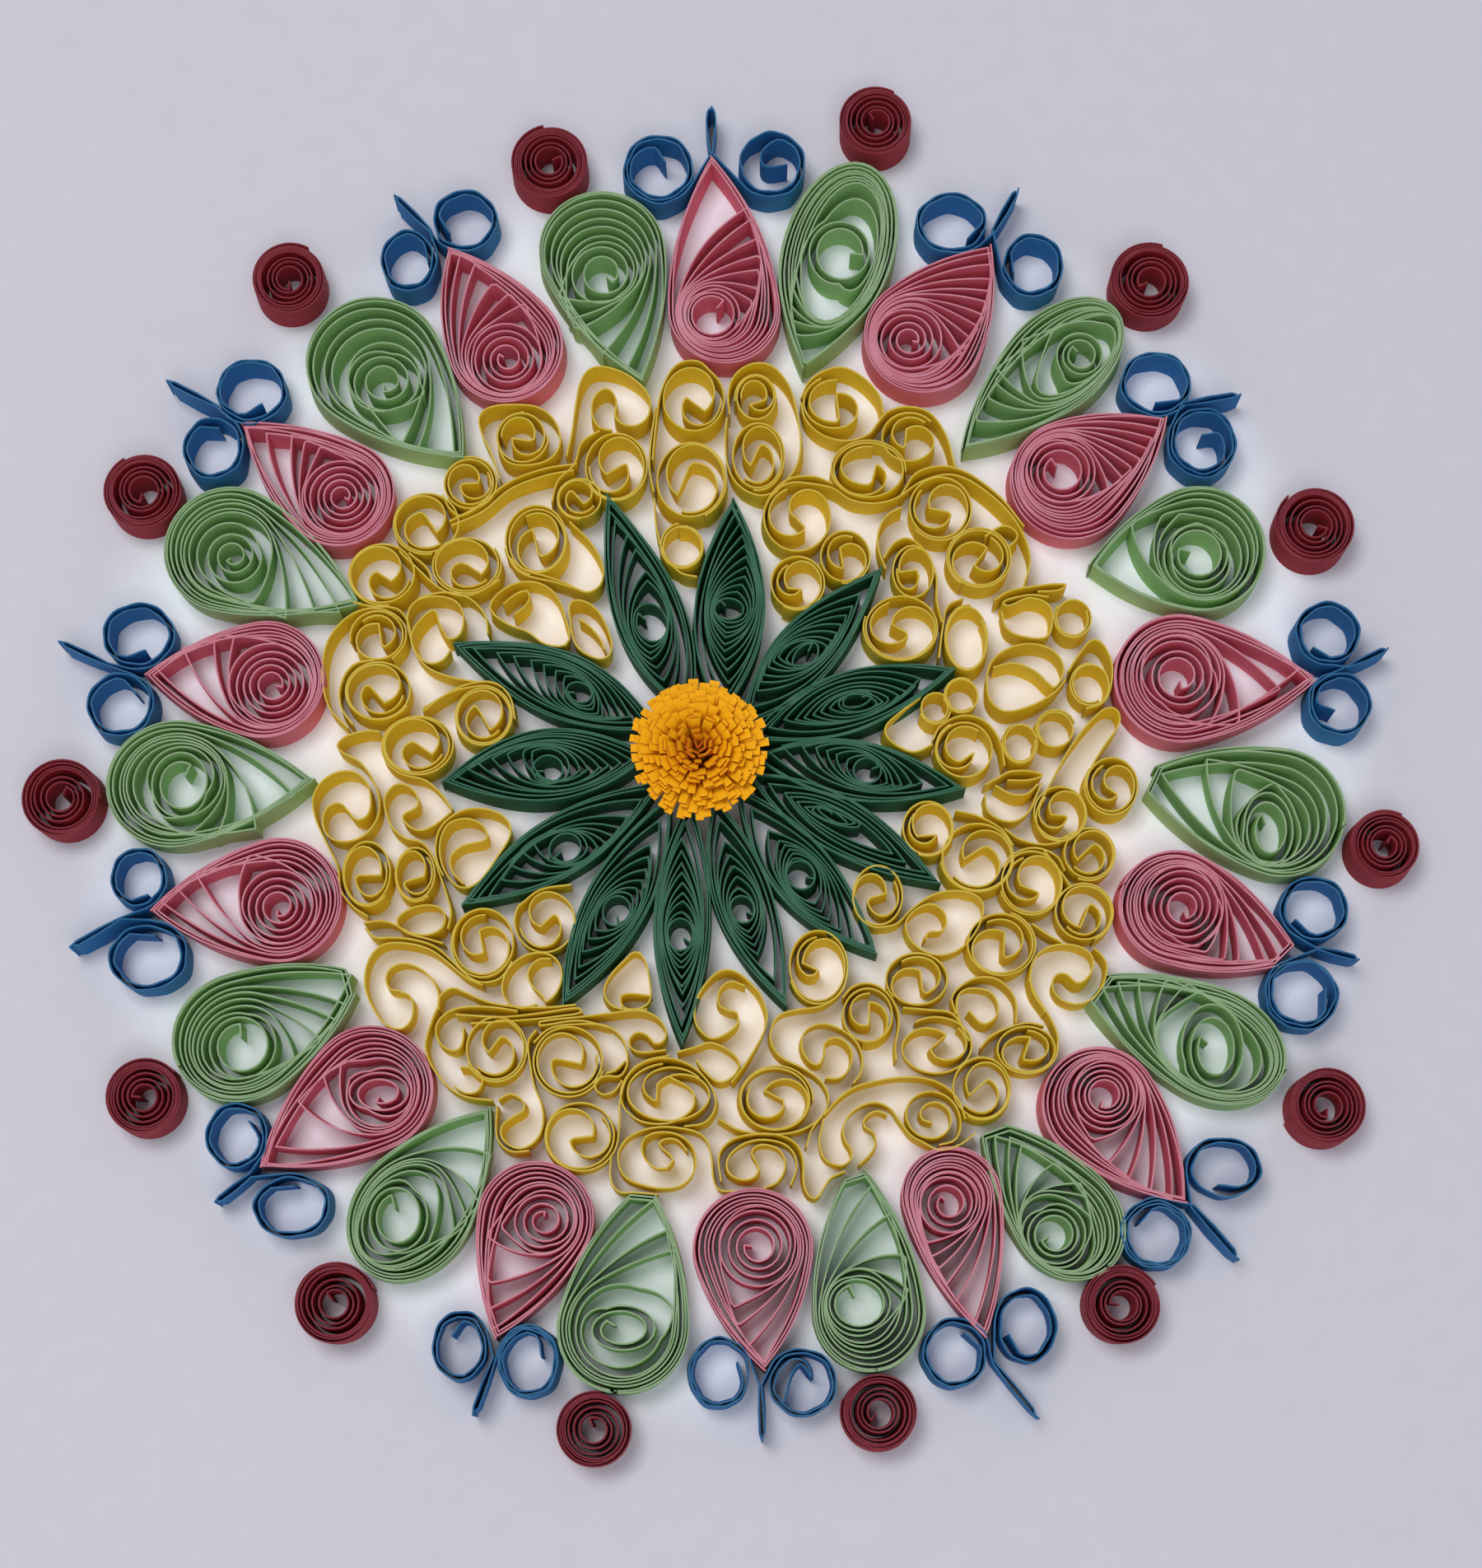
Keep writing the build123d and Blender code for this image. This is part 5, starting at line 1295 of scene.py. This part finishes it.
def make_flower(papers):
    """The rolled base, then rows of tabs from the upright middle to the folded rim."""
    chance = random.Random(TAB_SEED)
    piece = PaperPiece(seed=FLOWER_SEED)
    base = coil_line(*FLOWER_CENTRE, FLOWER_COIL, BASE_TURNS, 0, loose=BASE_LOOSE, heart=BASE_HEART)
    piece.strip(base, high=FLOWER_FOOT + BASE_RISE, wave=0, lean=0)
    for row in range(FLOWER_ROWS):
        share = (row + 0.5) / FLOWER_ROWS
        tabs = max(int(2 * math.pi * FLOWER_RADIUS * share / (TAB_WIDTH + TAB_GAP)), LEAST_TABS)
        turn = chance.uniform(0, 2 * math.pi)
        for tab in range(tabs):
            angle = turn + 2 * math.pi * (tab + chance.uniform(*TURN_STRAY)) / tabs
            upper = max(math.sin(angle), 0)
            longer = upper * (UPPER_REACH + UPPER_BULGE * math.sin(math.pi * share))
            out = share + longer + chance.uniform(*REACH_STRAY)
            out = min(out, 1 + upper * UPPER_RIM + chance.uniform(*RIM_STRAY))
            width = TAB_WIDTH * chance.uniform(*WIDTH_SPREAD)
            add_tab(piece, angle, out, width, chance.uniform(*RISE_STRAY))
    made = piece.build("fringed_flower_tabs", *papers["orange_paper"], sharp=SHARP_TAB)
    stand_in(made, "orange_paper", "fringed_flower")


def card_material():
    """Pale card: cool outside the mandala, and painted brighter between the strips that stand on it, as
    painted light in the hollows.
    """
    tone, pale = srgb(*CARD_TONE), srgb(*CARD_PALE)
    material = paper_material("card_with_painted_light", tone, pale, roughness=0.6, mottle=0.5, fibre=0.04)
    nodes, links = material.node_tree.nodes, material.node_tree.links
    colour = nodes["Principled BSDF"].inputs["Base Color"]
    outside = colour.links[0].from_socket
    distance = nodes.new("ShaderNodeVectorMath")
    distance.operation = "LENGTH"
    links.new(nodes.new("ShaderNodeTexCoord").outputs["Object"], distance.inputs[0])
    # Painted light: brighter card tones inside the mandala, fading back to the card's own tone between the
    # teardrops and the outer coils
    inside = ramp_node(nodes, links, distance.outputs["Value"],
                       (PETAL_RING * MM, srgb(*CARD_MIDDLE_PAINTED_LIGHT)), (LOOP_RING * MM, srgb(*CARD_RING_PAINTED_LIGHT)))
    edge = nodes.new("ShaderNodeMapRange")
    edge.interpolation_type = "SMOOTHSTEP"
    edge.inputs["From Min"].default_value = TEARDROP_RING * MM
    edge.inputs["From Max"].default_value = COIL_RING * MM
    links.new(distance.outputs["Value"], edge.inputs["Value"])
    links.new(mix_node(nodes, links, edge.outputs["Result"], inside, outside), colour)
    return material


def finish_card():
    card = frame["nodes"]["backing_card"]
    card.data.materials.clear()
    card.data.materials.append(card_material())


def make_floor():
    mesh = bpy.data.meshes.new("floor")
    reach = FLOOR_REACH * MM
    corners = [(-reach, -reach, 0), (reach, -reach, 0), (reach, reach, 0), (-reach, reach, 0)]
    mesh.from_pydata(corners, [], [(0, 1, 2, 3)])
    floor = bpy.data.objects.new("floor", mesh)
    bpy.context.scene.collection.objects.link(floor)
    mesh.materials.append(paper_material("floor_surface", srgb(*FLOOR_TONE), srgb(*FLOOR_PALE), fibre=0.02))
    floor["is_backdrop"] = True


def make_light():
    """A broad window above and a little to the upper left, a softer one low in front, and a pale room."""
    world = bpy.data.worlds.new("room")
    world.use_nodes = True
    world.node_tree.nodes["Background"].inputs["Color"].default_value = ROOM_COLOUR
    world.node_tree.nodes["Background"].inputs["Strength"].default_value = ROOM_STRENGTH
    bpy.context.scene.world = world
    for name, (spot, size, power) in LAMPS.items():
        lamp = bpy.data.lights.new(name, "AREA")
        lamp.size = size
        lamp.energy = power
        lamp.color = LAMP_COLOUR
        holder = bpy.data.objects.new(name, lamp)
        holder.location = spot
        holder.rotation_euler = Vector(spot).to_track_quat("Z", "Y").to_euler()
        bpy.context.scene.collection.objects.link(holder)


def make_camera():
    camera = bpy.data.cameras.new("photo_camera")
    camera.sensor_fit = "VERTICAL"
    camera.sensor_height = SENSOR
    camera.lens = FOCAL_PIXELS / PHOTO_HEIGHT * SENSOR
    camera.clip_start = 0.01
    camera.clip_end = 20
    holder = bpy.data.objects.new("photo_camera", camera)
    holder.location = [value * MM for value in CAMERA_PLACE]
    holder.rotation_euler = (math.radians(CAMERA_TILT), 0, 0)
    bpy.context.scene.collection.objects.link(holder)
    bpy.context.scene.camera = holder


def write_sizes():
    boxes = {"cad": cad_box, "visual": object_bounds()}
    {name: [list(corner) for corner in box] for name, box in boxes.items()}


papers = make_papers()
make_maroon_coils(papers)
make_teardrops(papers)
make_petals(papers)
make_blue_scrolls(papers)
make_yellow_scrolls(papers)
make_flower(papers)
finish_card()
make_floor()
make_light()
make_camera()
bpy.context.scene.view_settings.view_transform = "Standard"
write_sizes()
